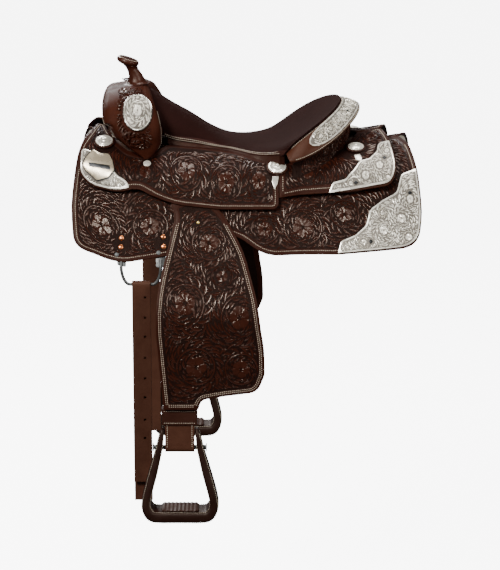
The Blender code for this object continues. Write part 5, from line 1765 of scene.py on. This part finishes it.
SKIRT_SCROLLS = [(0.304, 0.187, 0.0165, 1, 0.3), (0.268, 0.214, 0.0165, -1, 1.2),
                 (0.322, 0.148, 0.0120, -1, 0.8), (0.228, 0.2425, 0.0110, 1, 0.2),
                 (0.318, 0.226, 0.0130, -1, 1.6), (0.266, 0.178, 0.0080, 1, 0.4)]
REAR_SCROLLS = [(0.233, 0.1215, 0.0135, 1, 0.5), (0.262, 0.1020, 0.0125, -1, 1.1),
                (0.278, 0.0730, 0.0090, 1, 0.1), (0.2030, 0.1355, 0.0065, -1, 0.9),
                (0.278, 0.1230, 0.0070, 1, 2.0)]
FRONT_SCROLLS = [(-0.2620, 0.1455, 0.0055, 1, 0.4), (-0.3380, 0.1190, 0.0040, -1, 0.2)]
OVAL_SCROLLS = [(OVAL_X, OVAL_T, 0.0165, 1, 0.5)]
ENGRAVED = 0.0008
FINE = ((0.0125, 0.0036), (0.0090, 0.0029), (0.0060, 0.0022))
SWELL_REACH = 0.235
ROLL_REACH, ROLL_WIDE = 0.185, 0.046


def on_roll_band(x, s, h):
    a, t = x / ROLL_REACH, s / ROLL_WIDE
    crown = 0.675 - 0.42 * abs(t - 0.5)**1.7
    return roll_ring(a, [(t, crown + h / ROLL_THICK)])[0]


def on_swell(x, s, h):
    return swell_place(x, s / SWELL_REACH, h)


def make_engraving():
    badge = [Vector(p) for p in ((-0.325, 0.100), (-0.276, 0.098), (-0.270, 0.128), (-0.287, 0.1415),
                                 (-0.310, 0.155), (-0.338, 0.145), (-0.342, 0.130))]
    plates = (("front_plate", FRONT_PLATE, FRONT_SCROLLS, above_jockey(ON_PLATE), [badge]),
              ("rear_jockey_plate", REAR_JOCKEY_PLATE, REAR_SCROLLS, above_jockey(ON_PLATE),
               [(0.2724, 0.0881, 0.006), (0.2132, 0.1342, 0.006)]),
              ("skirt_plate", SKIRT_PLATE, SKIRT_SCROLLS, SKIRT_TOP + ON_PLATE,
               [(0.3222, 0.1389, 0.006), (0.2424, 0.2397, 0.006)]))
    for k, (key, outline, flowers, top, avoid) in enumerate(plates):
        work = carve(outline, flowers, FINE, 20 + k, avoid, border=0.0036, relief=ENGRAVED,
                     room=0.0011)
        for side_name, side in SIDES:
            work.build(f"engraving_{key}_{side_name}", top, CUT_SILVER, "saddle", side,
                       slot="engraved_silver")
    scale = OVAL_HALF_T / OVAL_HALF_X
    oval = circle((OVAL_X, OVAL_T), OVAL_HALF_X, 48)
    work = carve(oval, OVAL_SCROLLS, FINE, 30, border=0.0040, relief=ENGRAVED, room=0.0010)
    for side_name, side in SIDES:
        work.build(f"engraving_oval_{side_name}", oval_dome, CUT_SILVER, "saddle", side,
                   lambda x, s, h: swell_place(x, OVAL_T + (s - OVAL_T) * scale, h),
                   "engraved_silver")


def make_band_engraving():
    outline = [Vector((x * ROLL_REACH, t * ROLL_WIDE)) for x, t in (
        [(-1.17 + 2.34 * k / 30, 0.13) for k in range(31)]
        + [(1.17 - 2.34 * k / 30, 0.80) for k in range(31)])]
    scrolls = [(ROLL_REACH * 1.06 * (k / 6 - 1), 0.465 * ROLL_WIDE, 0.0095, 1 if k % 2 else -1, 0.4 * k)
               for k in range(13)]
    work = carve(outline, scrolls, FINE, 40, border=0.0006, relief=ENGRAVED, room=0.0011)
    work.build("engraving_cantle_band", 0.0002, CUT_SILVER, "saddle", 1.0, on_roll_band,
               "engraved_silver")
    for k, a in enumerate((-0.42, 0.42)):
        stud(f"band_screw_{k}", a * ROLL_REACH, 0.5 * ROLL_WIDE, 0.0004, 0.0046, BLACK_STEEL_AND_SHADOW, "saddle", 1.0,
             on_roll_band, tall=0.3, count=4)


def make_cantle_carving():
    outline = [Vector((x * ROLL_REACH, t * WALL_TALL)) for x, t in (
        [(-1.36 + 2.72 * k / 30, 0.02) for k in range(31)]
        + [(1.36 - 2.72 * k / 30, 0.97) for k in range(31)])]
    flowers = [(ROLL_REACH * x, 0.5 * WALL_TALL, 0.018, 1 if x > 0 else -1, 2.0 * x)
               for x in (-0.95, -0.45, 0.0, 0.45, 0.95)]
    work = carve(outline, flowers, ((0.014, 0.0046), (0.009, 0.0036)), 12, border=0.0005)
    work.build("carving_cantle_back", 0.0001, CARVED, "saddle", 1.0,
               lambda x, s, h: back_wall(x / ROLL_REACH, s / WALL_TALL, h), "tooled_leather")


def make_swell_carving():
    outline = [Vector(p) for p in (
        (-0.270, 0.050), (-0.2200, 0.050), (-0.2080, 0.085), (-0.1985, 0.120), (-0.1970, 0.160),
        (-0.1960, 0.205), (-0.1990, 0.226), (-0.2080, 0.2375), (-0.2230, 0.2375), (-0.2360, 0.230),
        (-0.2520, 0.212), (-0.2640, 0.190), (-0.2720, 0.150), (-0.2720, 0.100))]
    ring = [Vector((OVAL_X + 0.034 * math.cos(a), OVAL_T * SWELL_REACH + 0.050 * math.sin(a)))
            for a in [2 * math.pi * k / 40 for k in range(40)]]
    work = carve(outline, [(-0.231, 0.2060, 0.019, 1, 0.4), (-0.255, 0.064, 0.016, -1, 0.4)],
                 ((0.018, 0.0052), (0.012, 0.0042), (0.008, 0.0034)), 9, [ring], border=0.002)
    for side_name, side in SIDES:
        work.build(f"carving_swell_{side_name}", 0.0035, CARVED, "saddle", side, on_swell,
                   "tooled_leather")


def make_carving():
    fitted = [(x, s, 1.28 * r) for x, s, r in CONCHOS.values()]
    sizes = ((0.020, 0.0056), (0.014, 0.0046), (0.009, 0.0036))
    skirt = carve(SKIRT_OUTLINE, SKIRT_FLOWERS, sizes, 3,
                  avoid=[SKIRT_PLATE, (-0.259, 0.2555, 0.017), (-0.1745, 0.251, 0.016)],
                  keep=lambda x, s: (s > 0.120 or x > 0.29) and not (-0.13 < x < -0.06))
    jockey = carve(JOCKEY_OUTLINE, JOCKEY_FLOWERS, sizes, 4,
                   avoid=[FRONT_PLATE, (-0.2085, 0.1056, 0.010), *fitted,
                          (0.050, 0.139, 0.012)],
                   keep=lambda x, s: s > 0.072 or x < -0.28)
    rear = carve(REAR_JOCKEY_OUTLINE, REAR_FLOWERS, sizes, 5,
                 avoid=[REAR_JOCKEY_PLATE, *fitted], keep=lambda x, s: x > 0.200 or s > 0.085)
    fender = carve(FENDER_OUTLINE, FENDER_FLOWERS, sizes, 6, avoid=[(-0.1047, 0.2135, 0.006)],
                   keep=lambda x, s: 0.188 < s < 0.583, border=0.0150)
    for side_name, side in SIDES:
        skirt.build(f"carving_skirt_{side_name}", SKIRT_TOP, CARVED, "saddle", side,
                    slot="tooled_leather")
        jockey.build(f"carving_seat_jockey_{side_name}", above_jockey(0.0), CARVED, "saddle", side,
                     slot="tooled_leather")
        rear.build(f"carving_rear_jockey_{side_name}", above_jockey(0.0), CARVED, "saddle", side,
                   slot="tooled_leather")
        across_lift(fender.build(f"carving_fender_{side_name}", FENDER[1], CARVED, None, side,
                                 hanging, slot="tooled_leather"), side_name, side)


def make_stitching():
    for (body, side), (verts, faces) in STITCHES.groups.items():
        side_name = "left" if side < 0 else "right"
        name = f"stitching_{body}" if body.endswith(side_name) else f"stitching_{body}_{side_name}"
        finish_piece(name, verts, faces, THREAD, body, side, slot="plain_leather", smooth=60.0)


# ---- the studio ----
def area_light(name, place, aim, size, power):
    data = bpy.data.lights.new(name, "AREA")
    data.shape, data.size, data.size_y = "RECTANGLE", size[0], size[1]
    data.energy = power
    lamp = bpy.data.objects.new(name, data)
    lamp.location = place
    turn = (Vector(aim) - Vector(place)).to_track_quat("-Z", "Y")
    lamp.rotation_euler = turn.to_euler()
    bpy.context.scene.collection.objects.link(lamp)


def make_studio():
    world = bpy.data.worlds.new("studio")
    bpy.context.scene.world = world
    world.use_nodes = True
    tree = world.node_tree
    path = tree.nodes.new("ShaderNodeLightPath")
    power = tree.nodes.new("ShaderNodeMapRange")
    power.inputs["To Min"].default_value = WALL_LIGHT
    power.inputs["To Max"].default_value = WALL_WHITE
    tree.links.new(path.outputs["Is Camera Ray"], power.inputs["Value"])
    tree.nodes["Background"].inputs["Color"].default_value = (1, 1, 1, 1)
    tree.links.new(power.outputs["Result"], tree.nodes["Background"].inputs["Strength"])
    mesh = bpy.data.meshes.new("floor")
    r = 14.0
    mesh.from_pydata([(-r, -r, FLOOR_Z), (r, -r, FLOOR_Z), (r, r, FLOOR_Z), (-r, r, FLOOR_Z)], [],
                     [(0, 1, 2, 3)])
    floor = bpy.data.objects.new("floor", mesh)
    net = Net("floor_paint", 0.9)
    net.set("Base Color", (0.93, 0.93, 0.93, 1.0))
    net.set("Emission Color", (1, 1, 1, 1))
    net.set("Emission Strength", WALL_WHITE)
    mesh.materials.append(net.material)
    floor.visible_diffuse = floor.visible_glossy = False
    bpy.context.scene.collection.objects.link(floor)
    area_light("key", (-1.7, -2.7, 2.2), (0, 0, -0.1), (0.8, 0.8), 190)
    area_light("fill", (2.6, -2.4, 1.4), (0, 0, -0.2), (0.8, 0.8), 75)
    area_light("top", (0.2, 0.5, 2.8), (0, 0, 0), (1.2, 0.8), 60)
    area_light("back", (-1.2, 2.8, 1.6), (0, 0, -0.1), (1.0, 1.0), 120)


WALL_LIGHT, WALL_WHITE = 0.10, 7.0

make_leathers()
make_fleece()
make_plates()
make_conchos()
make_small_fittings()
make_swell()
make_oval_plates()
make_horn()
make_seat()
make_seat_welts()
make_cantle()
make_rigging()
make_billets()
make_fenders()
make_stirrups()
dress_hidden_parts()
make_carving()
make_engraving()
make_band_engraving()
make_cantle_carving()
make_swell_carving()
make_stitching()
make_studio()
